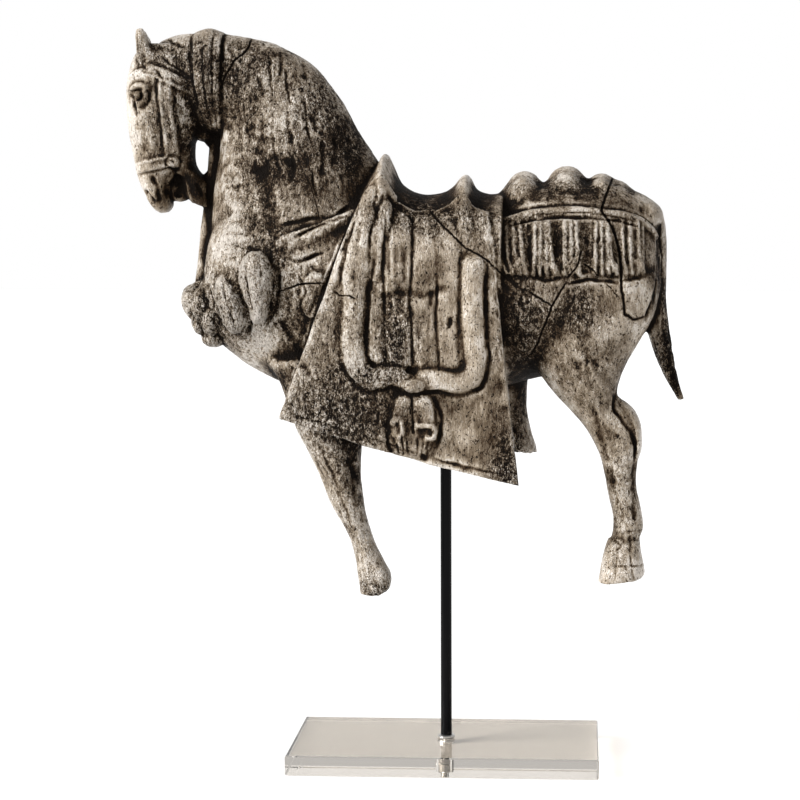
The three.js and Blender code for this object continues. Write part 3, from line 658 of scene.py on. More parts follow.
LEG_STROKES = [
    ([(-66, 240), (-64, 222), (-61, 205)], 15, 1.6),
    ([(-73, 187), (-71, 178), (-68, 171)], 4.5, 1.4),
    ([(-90, 225), (-82, 203), (-73, 180), (-65, 158)], 4, 0.7),
    ([(119, 268), (120, 258), (125, 250), (131, 242), (134, 233), (134, 222)], 4.6, 1.6),
    ([(134, 222), (133, 205), (133, 192), (134, 178)], 5, 0.9),
    ([(103, 262), (110, 240), (116, 215), (122, 190)], 8, 0.8),
    ([(92, 300), (108, 280), (118, 262)], 12, -0.8),
    ([(-85, 232), (-77, 212), (-70, 192), (-62, 170)], 4.5, 0.8),
    ([(127, 172), (139, 172.3)], 4, 1.6),
    ([(131, 171), (131, 158)], 3, 0.7),
    ([(131, 156), (132.5, 146), (134, 139)], 2.6, 0.8),
    ([(122, 157), (121, 147), (120, 138)], 2.2, 0.6),
    ([(113, 147), (125, 149), (141, 148)], 3.2, 0.9),
    ([(114, 161), (119, 166), (124, 162.5), (121, 159)], 2.8, 0.9),
    ([(153.5, 330), (154.5, 310), (158, 290), (162, 275)], 2.6, 0.9),
]


def numbers_of(mesh):
    """A mesh's vertex places and normals."""
    places, normals = (np.empty(3 * len(mesh.vertices)) for _ in range(2))
    mesh.vertices.foreach_get("co", places)
    mesh.vertex_normals.foreach_get("vector", normals)
    return places.reshape(-1, 3), normals.reshape(-1, 3)


def nearness(x, z, line, width):
    """1 on a line of the side view, falling smoothly to 0 at half a width beside it."""
    line = np.array(line, float)
    half = width / 2
    low, high = line.min(0) - half, line.max(0) + half
    close = np.flatnonzero((x > low[0]) & (x < high[0]) & (z > low[1]) & (z < high[1]))
    found = np.zeros(len(x))
    if not len(close):
        return found
    smooth = rail(line)(np.linspace(0, 1, 5 * len(line)))
    here = np.stack([x[close], z[close]], 1)
    distance, along = np.full(len(close), half), np.zeros(len(close))
    for i, (a, b) in enumerate(zip(smooth[:-1], smooth[1:])):
        share = np.clip((here - a) @ (b - a) / ((b - a) @ (b - a)), 0, 1)
        away = np.hypot(*(here - a - share[:, None] * (b - a)).T)
        along = np.where(away < distance, i + share, along)
        distance = np.minimum(distance, away)
    from_end = np.minimum(along, len(smooth) - 1 - along) / (len(smooth) - 1)
    found[close] = (0.5 + 0.5 * np.cos(np.pi * distance / half)) * np.clip(0.35 + 6 * from_end, 0, 1)
    return found


def noise_at(places, size):
    """Smooth noise from about -1 to 1 at each place, with lumps of one size, or of three along X, Y and Z.
    Places moved by a number read another stretch of it."""
    return np.array([noise.noise(place) for place in (places / size).tolist()])


# A hand's stroke wanders a little and its depth is uneven, over these lengths
WANDER, WANDER_LENGTH, UNEVEN_LENGTH, SWELL_LENGTH = 0.5, 5, 6, 16


def carving(places, normals, strokes, side, least_y):
    """How deep the strokes cut at each vertex, on one side and no nearer to the middle than least_y."""
    x, y, z = places.T
    there = np.clip((side * y - least_y) / 3, 0, 1) * np.clip(side * normals[:, 1] * 4, 0, 1)
    uneven, swell = noise_at(places + 90, UNEVEN_LENGTH), noise_at(places + 20, SWELL_LENGTH)
    there *= np.clip(0.85 + 0.6 * uneven + 0.7 * swell, 0.1, 1.5)
    wander = WANDER * noise_at(places, WANDER_LENGTH)
    cuts = [depth * nearness(x + wander, z + wander, line, width) for line, width, depth in strokes]
    return there * sum(cuts)


# Where the surface was left rough, in the side view: x, z, half length, half height and strength
PITTED = [
    # Head and throat
    (-190, 505, 26, 14, 0.6), (-170, 480, 20, 30, 0.5), (-195, 450, 20, 30, 0.3),
    (-182, 460, 10, 18, 0.5),
    # Neck and mane
    (-140, 495, 26, 26, 0.6), (-100, 440, 44, 46, 0.35), (-130, 420, 26, 40, 0.15),
    (-84, 470, 18, 24, 0.35), (-64, 436, 12, 16, 0.5),
    # Breast and shoulder
    (-75, 252, 40, 26, 0.9), (-120, 345, 30, 40, 0.7), (-150, 320, 24, 24, 0.7),
    (-172, 325, 16, 26, 0.7), (-146, 395, 16, 44, 0.25),
    # Saddle and cloth
    (-29, 306, 9, 24, 1.0), (-50, 284, 18, 6, 0.8), (-10, 390, 50, 10, 0.7), (-60, 300, 50, 60, 0.25),
    # Croup and flank
    (92, 326, 16, 14, 0.7), (58, 316, 14, 28, 0.8), (90, 372, 60, 24, 0.5), (88, 412, 60, 10, 0.5),
    (98, 286, 28, 34, 0.22),
    # Legs
    (48, 214, 12, 12, 0.9), (-48, 130, 14, 9, 0.9), (-62, 190, 20, 50, 0.35), (124, 190, 14, 50, 0.3),
    (50, 235, 12, 26, 0.5),
    # Tail
    (158, 300, 10, 46, 0.8),
]
RAGGED_DEPTH, RAGGED_LENGTH = 7, 13


def patches(spots):
    """Soft patches with ragged edges, mirrored to the far side with edges of their own."""
    x, _, z = places.T
    ragged_x = RAGGED_DEPTH * noise_at(places, RAGGED_LENGTH)
    ragged_z = RAGGED_DEPTH * noise_at(places + 400, RAGGED_LENGTH)
    total = np.zeros(len(places))
    for at_x, at_z, half_x, half_z, strength in spots:
        distance = ((x + ragged_x - at_x) / half_x) ** 2 + ((z + ragged_z - at_z) / half_z) ** 2
        total += strength * np.exp(-distance)
    return total


places, normals = numbers_of(carved)
depth = carving(places, normals, CLOTH_STROKES, NEAR, least_y=44)
depth += carving(places, normals, LEG_STROKES, NEAR, least_y=6)
for side in (NEAR, FAR):
    depth += carving(places, normals, RUMP_STROKES, side, least_y=0)
    depth += carving(places, normals, HEAD_STROKES, side, least_y=3)
    depth += carving(places, normals, NECK_STROKES, side, least_y=8)
# Uneven hand modelling everywhere: its sizes along X, Y and Z, and its depth
SWELLS, SWELL_DEPTH, RIPPLES, RIPPLE_DEPTH = (17, 17, 22), 0.7, (3, 3, 9), 0.15
depth += SWELL_DEPTH * noise_at(places, SWELLS) + RIPPLE_DEPTH * noise_at(places, RIPPLES)
# Gnarls and chisel marks, faint everywhere and strong where the surface was left rough
GNARLS, CHISEL_MARKS, CUT_DEPTH, FAINT = (3.2, 3.2, 6), (2, 2, 3), 1.1, 0.12
gnarls, chips = noise_at(places, GNARLS) - 0.08, noise_at(places, CHISEL_MARKS) - 0.12
cuts = np.clip(gnarls, 0, 1) + np.clip(chips, 0, 1)
depth += (FAINT + patches(PITTED)) * (CUT_DEPTH * cuts - 0.2)
# The broken ends of the legs are jagged: x, z of the break, and side
BROKEN_ENDS = [(-48, 130, NEAR), (-84, 262, FAR), (52, 225, FAR)]
BREAK_HALF_LENGTH = 25
x, y, z = places.T
for at_x, break_z, side in BROKEN_ENDS:
    broken = np.clip((break_z - z) / 4, 0, 1) * (np.abs(x - at_x) < BREAK_HALF_LENGTH) * (side * y > 0)
    depth += broken * (1.5 * noise_at(places, 4) + 0.8 * noise_at(places, 2))
places -= normals * depth[:, None]
carved.vertices.foreach_set("co", places.ravel())
carved.update()

# The skin is thinned to about this many triangles, which keeps the chisel marks
TRIANGLES = 168000
horse = bpy.data.objects.new("resin_horse", carved)
bpy.context.scene.collection.objects.link(horse)
thin = horse.modifiers.new("thin", "DECIMATE")
thin.ratio = min(1, TRIANGLES / (2 * len(carved.polygons)))
# A blind socket in the belly takes the rod
SOCKET_RADIUS, SOCKET_TOP = 4.3, 322
drill_mesh = bpy.data.meshes.new("drill")
drill_shape = bmesh.new()
bore = Matrix.Translation((0, 0, SOCKET_TOP / 2))
bmesh.ops.create_cone(drill_shape, cap_ends=True, segments=48, radius1=SOCKET_RADIUS, radius2=SOCKET_RADIUS,
                      depth=SOCKET_TOP, matrix=bore)
drill_shape.to_mesh(drill_mesh)
drill_shape.free()
drill = bpy.data.objects.new("drill", drill_mesh)
bpy.context.scene.collection.objects.link(drill)
socket = horse.modifiers.new("socket", "BOOLEAN")
socket.operation, socket.object = "DIFFERENCE", drill
thinned = bpy.data.meshes.new_from_object(horse.evaluated_get(bpy.context.evaluated_depsgraph_get()))
horse.modifiers.clear()
horse.data = thinned
bpy.data.objects.remove(drill)
bpy.data.meshes.remove(drill_mesh)
bpy.data.meshes.remove(carved)

# Cracks
# They run across the horse as if an old figure had broken and been put together, and are cast with it.
# Each is a line of the side view, its width, and how far from the middle it starts.
CRACKS = [
    ([(-15, 402), (-9, 397), (-2.8, 389), (8.4, 378.6), (17, 370), (28.3, 364), (36, 357.6), (46, 348)],
     1.0, 44),
    ([(-72.4, 339.5), (-67.6, 337), (-62, 337.3), (-57.8, 335)], 0.9, 44),
    ([(-112.8, 339), (-104, 342), (-95, 344.7), (-80.5, 345.3)], 1.0, 30),
    ([(-135.9, 515), (-136.2, 510), (-139, 504.6), (-145.4, 499.3), (-148.4, 493.6), (-152, 488),
      (-154, 482)], 1.2, 3),
    ([(-126.4, 469), (-130, 463.3), (-134, 459.3), (-137.3, 455)], 0.5, 10),
    ([(-113, 420.3), (-116.2, 416.4), (-121.2, 413.3), (-127, 409)], 0.45, 10),
    ([(-92.8, 418), (-89.6, 409), (-86, 398), (-83.3, 386)], 0.45, 10),
    ([(118, 418), (115, 410.4), (112, 402.5), (110, 395.5), (112.5, 391), (116.5, 385), (119.5, 377),
      (121.7, 368.5), (123, 360), (123.6, 351), (123.6, 342.5), (125.3, 334), (126, 325), (129, 322.8),
      (132.5, 320.6), (139, 322)], 1.4, 2),
    ([(86, 346), (81, 338), (76.6, 330.3), (73, 320.7), (69.6, 312.7), (67, 305), (62, 296)], 1.1, 20),
    ([(60, 340), (68.8, 334.8), (75.7, 330.3)], 1.0, 20),
    ([(96, 367), (93.5, 357.4), (87, 349.6)], 1.1, 20),
    ([(97.8, 358.6), (102.6, 355.7), (107.8, 350.5)], 0.9, 20),
    ([(114, 344.3), (118, 340), (122.7, 334.7)], 0.7, 20),
]
# A crack's depth, how much wider its lips are, and its wander over a length. The mesh is finer beside it.
CRACK_DEPTH, LIPS, CRACK_WANDER, CRACK_WANDER_LENGTH = 1.0, 1.9, 0.35, 2.5
CRACK_BANDS, CRACK_EDGE = (5.0, 2.6), 0.55


def refine_along_cracks(mesh):
    """Splits the long edges in two bands along each crack, so that it keeps a sharp lip."""
    bm = as_bmesh(mesh)
    for band in CRACK_BANDS:
        x, y, z = np.array([vert.co for vert in bm.verts]).T
        near_crack = np.zeros(len(x), bool)
        for line, _, least_y in CRACKS:
            near_crack |= (nearness(x, z, line, band) > 0) & (NEAR * y > least_y - 3)
        bm.verts.ensure_lookup_table()
        picked = {edge for i in np.flatnonzero(near_crack) for edge in bm.verts[i].link_edges}
        long = [edge for edge in picked if edge.calc_length() > CRACK_EDGE]
        bmesh.ops.subdivide_edges(bm, edges=long, cuts=1)
        bmesh.ops.triangulate(bm, faces=bm.faces)
    bm.to_mesh(mesh)
    bm.free()


refine_along_cracks(horse.data)
places, normals = numbers_of(horse.data)
x, y, z = places.T
crack = np.zeros(len(x))
wander = CRACK_WANDER * noise_at(places, CRACK_WANDER_LENGTH)
for line, width, least_y in CRACKS:
    there = np.clip((NEAR * y - least_y) / 2, 0, 1)
    crack = np.maximum(crack, there * nearness(x + wander, z + wander, line, LIPS * width) * width)
places -= normals * (CRACK_DEPTH * crack)[:, None]
horse.data.vertices.foreach_set("co", places.ravel())
horse.data.update()

# Finish of the casting
# The resin is painted bone grey, then a dark brown wash is wiped over it. The wash stays in hollows, pits
# and cracks, gathers in soft patches, and is rubbed off the high places. Painted shade and painted
# highlights
# are laid into the same colour: dark patches where shade falls and light ones where the key light catches.
places, normals = numbers_of(horse.data)
edges = np.empty(2 * len(horse.data.edges), int)
horse.data.edges.foreach_get("vertices", edges)
edges = edges.reshape(-1, 2)
neighbours = np.bincount(edges.ravel(), minlength=len(places))[:, None]


def spread(values):
    """Each vertex's mean over its neighbours."""
    total = np.stack(
        [
            np.bincount(edges[:, 0], values[edges[:, 1], k], len(values))
            + np.bincount(edges[:, 1], values[edges[:, 0], k], len(values))
            for k in range(values.shape[1])
        ],
        1,
    )
    return total / neighbours


# Hollows of three widths: rounds of smoothing, share, the depth that gives all of it, and the least
HOLLOWS = [(3, 0.3, 0.3, -1), (14, 0.45, 1.5, -0.5), (60, 0.3, 3.4, -0.12)]


def hollowness():
    """How hollow each vertex lies, at three widths together: 0 on an even surface, 1 in a deep hollow, and
    below 0 on a ridge."""
    found, smoothed, done = 0, places, 0
    for rounds, share, full, least in HOLLOWS:
        while done < rounds:
            smoothed, done = spread(smoothed), done + 1
        below = ((smoothed - places) * normals).sum(1)
        found = found + share * np.clip(below / full, least, 1)
    return found


hollow = hollowness()
x, y, z = places.T
# The rag took more of the wash in some places than in others
RAG_STROKE = 11
hollow *= np.clip(0.95 + 0.8 * noise_at(places, RAG_STROKE), 0.45, 1.3)

# Patches of soot with painted shade, and of wear with painted highlights, in the side view: x, z, half
# length, half height and strength
# Soot and painted shade: dark patches, partly dirt and partly painted shade where shade falls, as in the
# opening behind the jaw, under the jaw and the brow, in the mouth and between the cloth and the thigh
SOOT_AND_SHADE = [
    # Head and throat
    (-190, 503, 20, 12, 0.15), (-168, 480, 12, 34, 0.25), (-169, 448, 9, 13, 1.1),
    (-183, 420, 8, 26, 0.7), (-172, 400, 8, 60, 0.45), (-166, 490, 11, 32, 0.3), (-174, 406, 9, 14, 1.1),
    (-163, 440, 5, 30, 0.5), (-186, 492, 14, 8, 0.3), (-186, 411, 5, 8, 0.8), (-178, 455, 6, 20, 0.35),
    (-196, 413, 8, 10, 0.3), (-211, 474, 8, 7, 1.3), (-206, 404, 8, 8, 0.5), (-198, 400, 6, 12, 0.7),
    (-179, 414, 6, 15, 0.9), (-197, 404, 7, 7, 0.25), (-217, 470, 3, 9, 0.4), (-163, 490, 9, 34, 0.35),
    # Neck and mane
    (-108, 424, 26, 9, 1.15), (-85, 412, 20, 8, 0.5), (-60, 428, 14, 26, 0.8), (-103, 482, 8, 6, 0.6),
    (-142, 480, 12, 16, 0.6), (-118, 503, 16, 8, 0.6), (-88, 488, 26, 8, 0.45),
    (-100, 462, 60, 44, 0.12), (-76, 446, 14, 20, 0.6),
    # Breast and shoulder
    (-92, 386, 14, 5, 0.8), (-108, 345, 7, 24, 0.4), (-84, 340, 9, 24, 0.4), (-150, 320, 20, 22, 0.35),
    (-168, 350, 5, 40, 0.6),
    # Saddle and cloth
    (-15, 400, 26, 9, 0.6), (20, 402, 24, 9, 0.45), (-15, 262, 30, 8, 0.2), (-28, 336, 9, 12, 0.3),
    (-8, 334, 8, 12, 0.2), (-17, 245, 14, 16, 0.45), (-40, 262, 30, 10, 0.25), (-15, 355, 40, 36, 0.3),
    (-17, 232, 12, 6, 0.4), (-10, 244, 9, 5, 0.3), (8, 281, 24, 8, 0.5), (21, 305, 7, 22, 0.25),
    (-60, 238, 40, 16, 0.15),
    # Croup and flank
    (60, 404, 40, 7, 0.5), (95, 406, 16, 8, 0.6), (125, 398, 18, 10, 0.45), (50, 318, 8, 46, 0.6),
    (52, 270, 14, 24, 0.9), (72, 352, 16, 7, 0.5), (80, 374, 5, 14, 0.35), (100, 368, 5, 16, 0.35),
    (120, 368, 4, 14, 0.2), (86, 404, 50, 10, 0.12), (45, 350, 8, 30, 0.5), (46, 300, 6, 60, 0.3),
    (95, 300, 40, 40, 0.25), (110, 290, 30, 40, 0.2), (96, 262, 6, 40, 0.3), (66, 282, 10, 16, 0.5),
    # Legs
    (-66, 222, 9, 22, 0.8), (45, 235, 16, 26, 0.8), (134, 200, 6, 50, 0.5), (-61, 195, 7, 44, 0.85),
    (118, 220, 16, 50, 0.45), (126, 150, 18, 16, 0.4), (-47, 130, 12, 8, 0.3), (118, 200, 14, 50, 0.3),
    # Tail
    (149, 345, 8, 40, 0.7), (159, 310, 9, 50, 1.3), (162, 277, 9, 24, 1.3),
]
# Wear and painted highlights: light patches, partly rubbed high places and partly painted highlights where
# the key light from the left falls on the face, the front of the neck and the breast
WEAR_AND_HIGHLIGHT = [
    # Head and throat
    (-219, 455, 9, 60, 0.55), (-181, 462, 8, 18, 0.9), (-189, 497, 14, 16, 0.35),
    # Neck and mane
    (-152, 440, 8, 20, 0.6), (-116, 462, 18, 16, 0.5),
    # Breast and shoulder
    (-148, 385, 13, 34, 1.15), (-127, 345, 8, 20, 0.5), (-65, 310, 4, 46, 0.6), (-90, 262, 12, 12, 0.2),
    (-178, 325, 10, 16, 0.5), (-72, 330, 6, 40, 0.35), (-140, 335, 22, 26, 0.9),
    (-100, 350, 14, 18, 1.0), (-74, 362, 4, 20, 0.4), (-92, 315, 4, 20, 0.5), (-106, 270, 4, 18, 0.6),
    (-165, 325, 14, 24, 0.6), (-123, 304, 15, 16, 1.0), (-126, 323, 6, 6, 0.6), (-126, 306, 14, 16, 0.5),
    (-86, 290, 5, 40, 0.35),
    # Saddle and cloth
    (16, 318, 4, 40, 0.5), (2, 245, 26, 22, 0.3), (-52, 400, 5, 30, 0.4),
    # Croup and flank
    (132, 338, 10, 26, 0.15), (57, 412, 7, 6, 0.6), (86, 414, 8, 6, 0.6), (112, 412, 6, 5, 0.4),
    (92, 385, 44, 10, 0.5), (92, 365, 46, 12, 0.3), (104, 290, 26, 30, 0.15), (43, 270, 5, 46, 0.45),
    # Legs
    (-97, 215, 8, 30, 0.7), (-62, 180, 18, 50, 0.45), (126, 148, 20, 18, 0.5), (126, 200, 14, 44, 0.4),
]
# Painted highlights along edges where the key light catches them: the cloth's front and back edges and the
# lip's rim. Each is a line of the side view, its width, strength and least distance from the middle
EDGE_HIGHLIGHTS = [
    ([(-45, 430), (-65, 384), (-82, 342), (-98, 297), (-112, 255)], 5, 0.9, 50),
    ([(31, 404), (38, 350), (45, 285), (52, 214)], 5, 0.7, 50),
    ([(-187, 421), (-182.5, 413), (-179.5, 402)], 3, 0.9, 2),
]
# Painted shadow behind the cloth's front edge, painted shade along the underside of its hem, and darkening
# along the mane's root
SHADOW_BEHIND_CLOTH = [(-94, 306, 12, 30, 0.9), (-112, 276, 12, 20, 1.0)]
HEM = [(-110, 251.5), (-60, 239.5), (-10, 226.5), (30, 214.5), (53, 208)]
MANE_ROOT = [(-118, 508), (-98, 493), (-80, 470), (-66, 445), (-55, 424)]
CLOTH_INSIDE, HEM_LEAST_Y = 56, 50
# The patches of soot and painted shade are weaker on the seat than on the cloth's sides
SEAT_MIDDLE, SEAT_HALF, SEAT_HALF_WIDTH = -5, 46, 32
on_seat = np.exp(-((y / SEAT_HALF_WIDTH) ** 2)) * (np.abs(x - SEAT_MIDDLE) < SEAT_HALF)
soot_and_shade = patches(SOOT_AND_SHADE) * (1 - 0.6 * on_seat)
soot_and_shade += patches(SHADOW_BEHIND_CLOTH) * np.clip((CLOTH_INSIDE - np.abs(y)) / 3, 0, 1)
soot_and_shade += 0.7 * nearness(x, z, HEM, 4.5) * (NEAR * y > HEM_LEAST_Y)
soot_and_shade += 0.4 * nearness(x, z, MANE_ROOT, 26) * np.clip(0.6 + noise_at(places, (5, 5, 8)), 0, 1.2)
wear_and_highlight = patches(WEAR_AND_HIGHLIGHT)
for line, width, strength, least_y in EDGE_HIGHLIGHTS:
    wear_and_highlight = np.maximum(wear_and_highlight, strength * nearness(x, z, line, width) * (np.abs(y) > least_y))


def give(name, values):
    """Stores one number a vertex on the horse for its material."""
    horse.data.attributes.new(name, "FLOAT", "POINT").data.foreach_set("value", values.astype(np.float32))


give("hollow", hollow)
give("crack", np.clip(crack, 0, 1))
give("soot_and_shade", soot_and_shade)
give("pitted", patches(PITTED))
give("wear_and_highlight", wear_and_highlight)

horse.data.transform(Matrix.Translation(ROD_AXIS) @ Matrix.Scale(MM, 4))
horse.data.shade_smooth()
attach(horse, "root")
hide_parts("horse")


def hex_colour(code):
    """An sRGB hex colour as linear red, green, blue and alpha."""
    parts = [int(code[i : i + 2], 16) / 255 for i in (1, 3, 5)]
    return [part / 12.92 if part <= 0.04045 else ((part + 0.055) / 1.055) ** 2.4 for part in parts] + [1]


def node(tree, kind, inputs=(), **settings):
    """Adds one node with its settings. An input is a socket's name or number with a value or a link."""
    made = tree.nodes.new("ShaderNode" + kind)
    for name, value in settings.items():
        setattr(made, name, value)
    for socket, value in inputs:
        if isinstance(value, bpy.types.NodeSocket):
            tree.links.new(value, made.inputs[socket])
        else:
            made.inputs[socket].default_value = value
    return made


def material(name):
    """A new material, with its tree and its shader."""
    made = bpy.data.materials.new(name)
    made.use_nodes = True
    tree = made.node_tree
    return made, tree, tree.nodes["Principled BSDF"]


# Painted polyester resin with a wiped umber wash: dry and chalky, with a dull gloss where it is rubbed. Its
# colour also holds painted shade and painted highlights.
patina, tree, shader = material("washed_polyester_resin")
place = node(tree, "TexCoord").outputs["Object"]
attribute = {
    name: node(tree, "Attribute", attribute_name=name).outputs["Fac"]
    for name in ("hollow", "crack", "soot_and_shade", "pitted", "wear_and_highlight")
}
# Each pattern's lumps in millimetres along X, Y and Z, its detail and its distortion. The paint's own grain
# is too fine to show in a picture of the whole horse, so it is drawn at about a millimetre.
PATTERNS = {
    "grain": ((0.8, 0.8, 1.6), 3, 0.6),
    "flakes": ((1.6, 1.6, 5.2), 2, 1.0),
    "pits": ((1.5, 1.5, 2.1), 1, 0.8),
    "flecks": ((1.0, 1.0, 1.5), 1, 0.6),
    "worms": ((3.0, 3.0, 4.0), 1, 2.0),
    "streaks": ((1.3, 1.3, 18), 2, 0.2),
    "blotch": ((12, 12, 20), 5, 0.4),
}
pattern = {}
for name, (size, detail, distortion) in PATTERNS.items():
    scale = [1 / (MM * along) for along in size]
    mapped = node(tree, "Mapping", [("Vector", place), ("Scale", scale)]).outputs["Vector"]
    inputs = [("Vector", mapped), ("Scale", 1), ("Detail", detail), ("Roughness", 0.6)]
    inputs.append(("Distortion", distortion))
    pattern[name] = node(tree, "TexNoise", inputs).outputs["Fac"]
# Pits open where their noise is low, more of them where the place is pitted. Worm tracks follow a contour.
inputs = [(0, attribute["pitted"]), (1, -0.07), (2, pattern["pits"])]
low = node(tree, "Math", inputs, operation="MULTIPLY_ADD").outputs[0]
centred = node(tree, "Math", [(0, pattern["worms"]), (1, 0.5)], operation="SUBTRACT").outputs[0]
contour = node(tree, "Math", [(0, centred)], operation="ABSOLUTE").outputs[0]
# Each mark's pattern, where it starts, where it is full, and how strong it is
MARKS = {
    "pit": (low, 0.38, 0.32, 1), "flake": (pattern["flakes"], 0.53, 0.46, 1),
    "fleck": (pattern["flecks"], 0.58, 0.66, 1), "worm": (contour, 0.085, 0.045, attribute["pitted"]),
}
mark = {}
for name, (cause, start, full, strength) in MARKS.items():
    inputs = [("Value", cause), ("From Min", start), ("From Max", full), ("To Max", strength)]
    mark[name] = node(tree, "MapRange", inputs, interpolation_type="SMOOTHSTEP").outputs[0]
# How much of the fine patterns shows: faint on smooth places and full on rough ones
inputs = [(0, attribute["pitted"]), (1, 0.85), (2, 0.22)]
rough = node(tree, "Math", inputs, operation="MULTIPLY_ADD").outputs[0]
# The fine patterns are summed from a start that brings their mean near nought, and lie about the mean tone
MOTTLE_START, MEAN_TONE = 0.15, 0.53
MOTTLE = [
    (pattern["blotch"], 0.3), (pattern["streaks"], -0.3), (pattern["grain"], -0.6), (mark["flake"], 0.4),
    (mark["fleck"], -0.55),
]
mottle = MOTTLE_START
for cause, share in MOTTLE:
    mottle = node(tree, "Math", [(0, cause), (1, share), (2, mottle)], operation="MULTIPLY_ADD").outputs[0]
wash_and_painted_light = node(tree, "Math", [(0, mottle), (1, rough), (2, MEAN_TONE)], operation="MULTIPLY_ADD").outputs[0]
# What darkens the colour, or lightens it, and by how much: wash in hollows, cracks, pits and worm tracks,
# soot with painted shade, and wear with painted highlights
DARKENING = [
    (attribute["hollow"], 0.85), (attribute["soot_and_shade"], 0.42), (attribute["wear_and_highlight"], -0.42),
    (attribute["crack"], 0.6), (mark["pit"], 0.4), (mark["worm"], 0.55),
]
for cause, share in DARKENING:
    wash_and_painted_light = node(tree, "Math", [(0, cause), (1, share), (2, wash_and_painted_light)], operation="MULTIPLY_ADD").outputs[0]
# The colour, from bare grey paint to the thickest wash and the deepest painted shade
RESIN_TONES = [(0.0, "#c6bcb0"), (0.2, "#9c8d79"), (0.5, "#685843"), (0.75, "#3a2c1e"), (1.0, "#120d09")]
tones = node(tree, "ValToRGB", [("Fac", wash_and_painted_light)])
ramp = tones.color_ramp
for stop, _ in RESIN_TONES[1:-1]:
    ramp.elements.new(stop)
for element, (stop, code) in zip(ramp.elements, RESIN_TONES):
    element.position, element.color = stop, hex_colour(code)
tree.links.new(tones.outputs["Color"], shader.inputs["Base Color"])
# The grain and the flakes stand out where the surface is rough, and pits and worm tracks are sunk in it
RELIEF_MM = 2.6
height = 0
for cause, share in ((pattern["grain"], 0.6), (pattern["flakes"], 0.8), (mark["flake"], -0.35)):
    height = node(tree, "Math", [(0, cause), (1, share), (2, height)], operation="MULTIPLY_ADD").outputs[0]
height = node(tree, "Math", [(0, height), (1, rough)], operation="MULTIPLY").outputs[0]
for cause, share in ((mark["pit"], -0.5), (mark["worm"], -0.6)):
    height = node(tree, "Math", [(0, cause), (1, share), (2, height)], operation="MULTIPLY_ADD").outputs[0]
bump = node(tree, "Bump", [("Height", height), ("Strength", 1), ("Distance", RELIEF_MM * MM)])
tree.links.new(bump.outputs["Normal"], shader.inputs["Normal"])
# Where the colour is light, from rubbing or painted highlight, the paint shines, and where it is dark it is
# dull
LIGHT_TONE, DARK_TONE = 0.15, 0.8
for socket, when_light, when_dark in (("Roughness", 0.28, 0.6), ("Specular IOR Level", 0.9, 0.04)):
    inputs = [("Value", wash_and_painted_light), ("From Min", LIGHT_TONE), ("From Max", DARK_TONE), ("To Min", when_light),
              ("To Max", when_dark)]
    tree.links.new(node(tree, "MapRange", inputs).outputs[0], shader.inputs[socket])
shader.inputs["IOR"].default_value = 1.52
horse.data.materials.clear()
horse.data.materials.append(patina)

# Stand
# A turned steel rod, powder coated black, stands on a steel washer and is screwed to a plate of clear cast
# acrylic sheet from below. The acrylic's cut edges are flame polished, so they are as clear as its faces.

# Powder coat: an even black with a low sheen, which its orange peel breaks up a little
coat, tree, shader = material("black_powder_coat")
place = node(tree, "TexCoord").outputs["Object"]
ORANGE_PEEL_MM = 0.9
peel = node(tree, "TexNoise", [("Vector", place), ("Scale", 1 / (MM * ORANGE_PEEL_MM)), ("Detail", 2)])
bump = node(tree, "Bump", [("Height", peel.outputs["Fac"]), ("Strength", 0.25), ("Distance", 0.1 * MM)])
tree.links.new(bump.outputs["Normal"], shader.inputs["Normal"])
sheen_change = node(tree, "MapRange", [("Value", peel.outputs["Fac"]), ("To Min", 0.28), ("To Max", 0.42)])
tree.links.new(sheen_change.outputs[0], shader.inputs["Roughness"])
shader.inputs["Base Color"].default_value = hex_colour("#070708")
shader.inputs["Specular IOR Level"].default_value = 0.07

# Turned steel: bright, with fine rings from the lathe's tool round the rod's axis. The real rings are too
# close to show, so they are drawn about a millimetre apart.
steel, tree, shader = material("turned_steel")
place = node(tree, "TexCoord").outputs["Object"]
TOOL_MARK_MM = 0.986
# A wave texture at scale 1 has this many rings to the metre
PLAIN_RINGS = 10 / math.pi
centred = node(tree, "Mapping", [("Vector", place), ("Location", -ROD_AXIS)]).outputs["Vector"]
scale = 1 / (MM * TOOL_MARK_MM) / PLAIN_RINGS
inputs = [("Vector", centred), ("Scale", scale), ("Distortion", 0.3)]
rings = node(tree, "TexWave", inputs, wave_type="RINGS", rings_direction="Z")
bump = node(tree, "Bump", [("Height", rings.outputs["Fac"]), ("Strength", 0.3), ("Distance", 0.05 * MM)])
tree.links.new(bump.outputs["Normal"], shader.inputs["Normal"])
shine = node(tree, "MapRange", [("Value", rings.outputs["Fac"]), ("To Min", 0.22), ("To Max", 0.34)])
tree.links.new(shine.outputs[0], shader.inputs["Roughness"])
shader.inputs["Base Color"].default_value = hex_colour("#c2c1bf")
shader.inputs["Metallic"].default_value = 1

# Cast acrylic: clear as glass and faintly tinted in its thickness, with a light smear left by handling
ACRYLIC_TINT, SMEAR_MM = "#d3cec7", 40
acrylic, tree, shader = material("clear_cast_acrylic")
place = node(tree, "TexCoord").outputs["Object"]
smear = node(tree, "TexNoise", [("Vector", place), ("Scale", 1 / (MM * SMEAR_MM)), ("Detail", 2)])
shine = node(tree, "MapRange", [("Value", smear.outputs["Fac"]), ("To Min", 0.0), ("To Max", 0.05)])
tree.links.new(shine.outputs[0], shader.inputs["Roughness"])
shader.inputs["Base Color"].default_value = hex_colour(ACRYLIC_TINT)
shader.inputs["Transmission Weight"].default_value = 1
shader.inputs["IOR"].default_value = 1.49
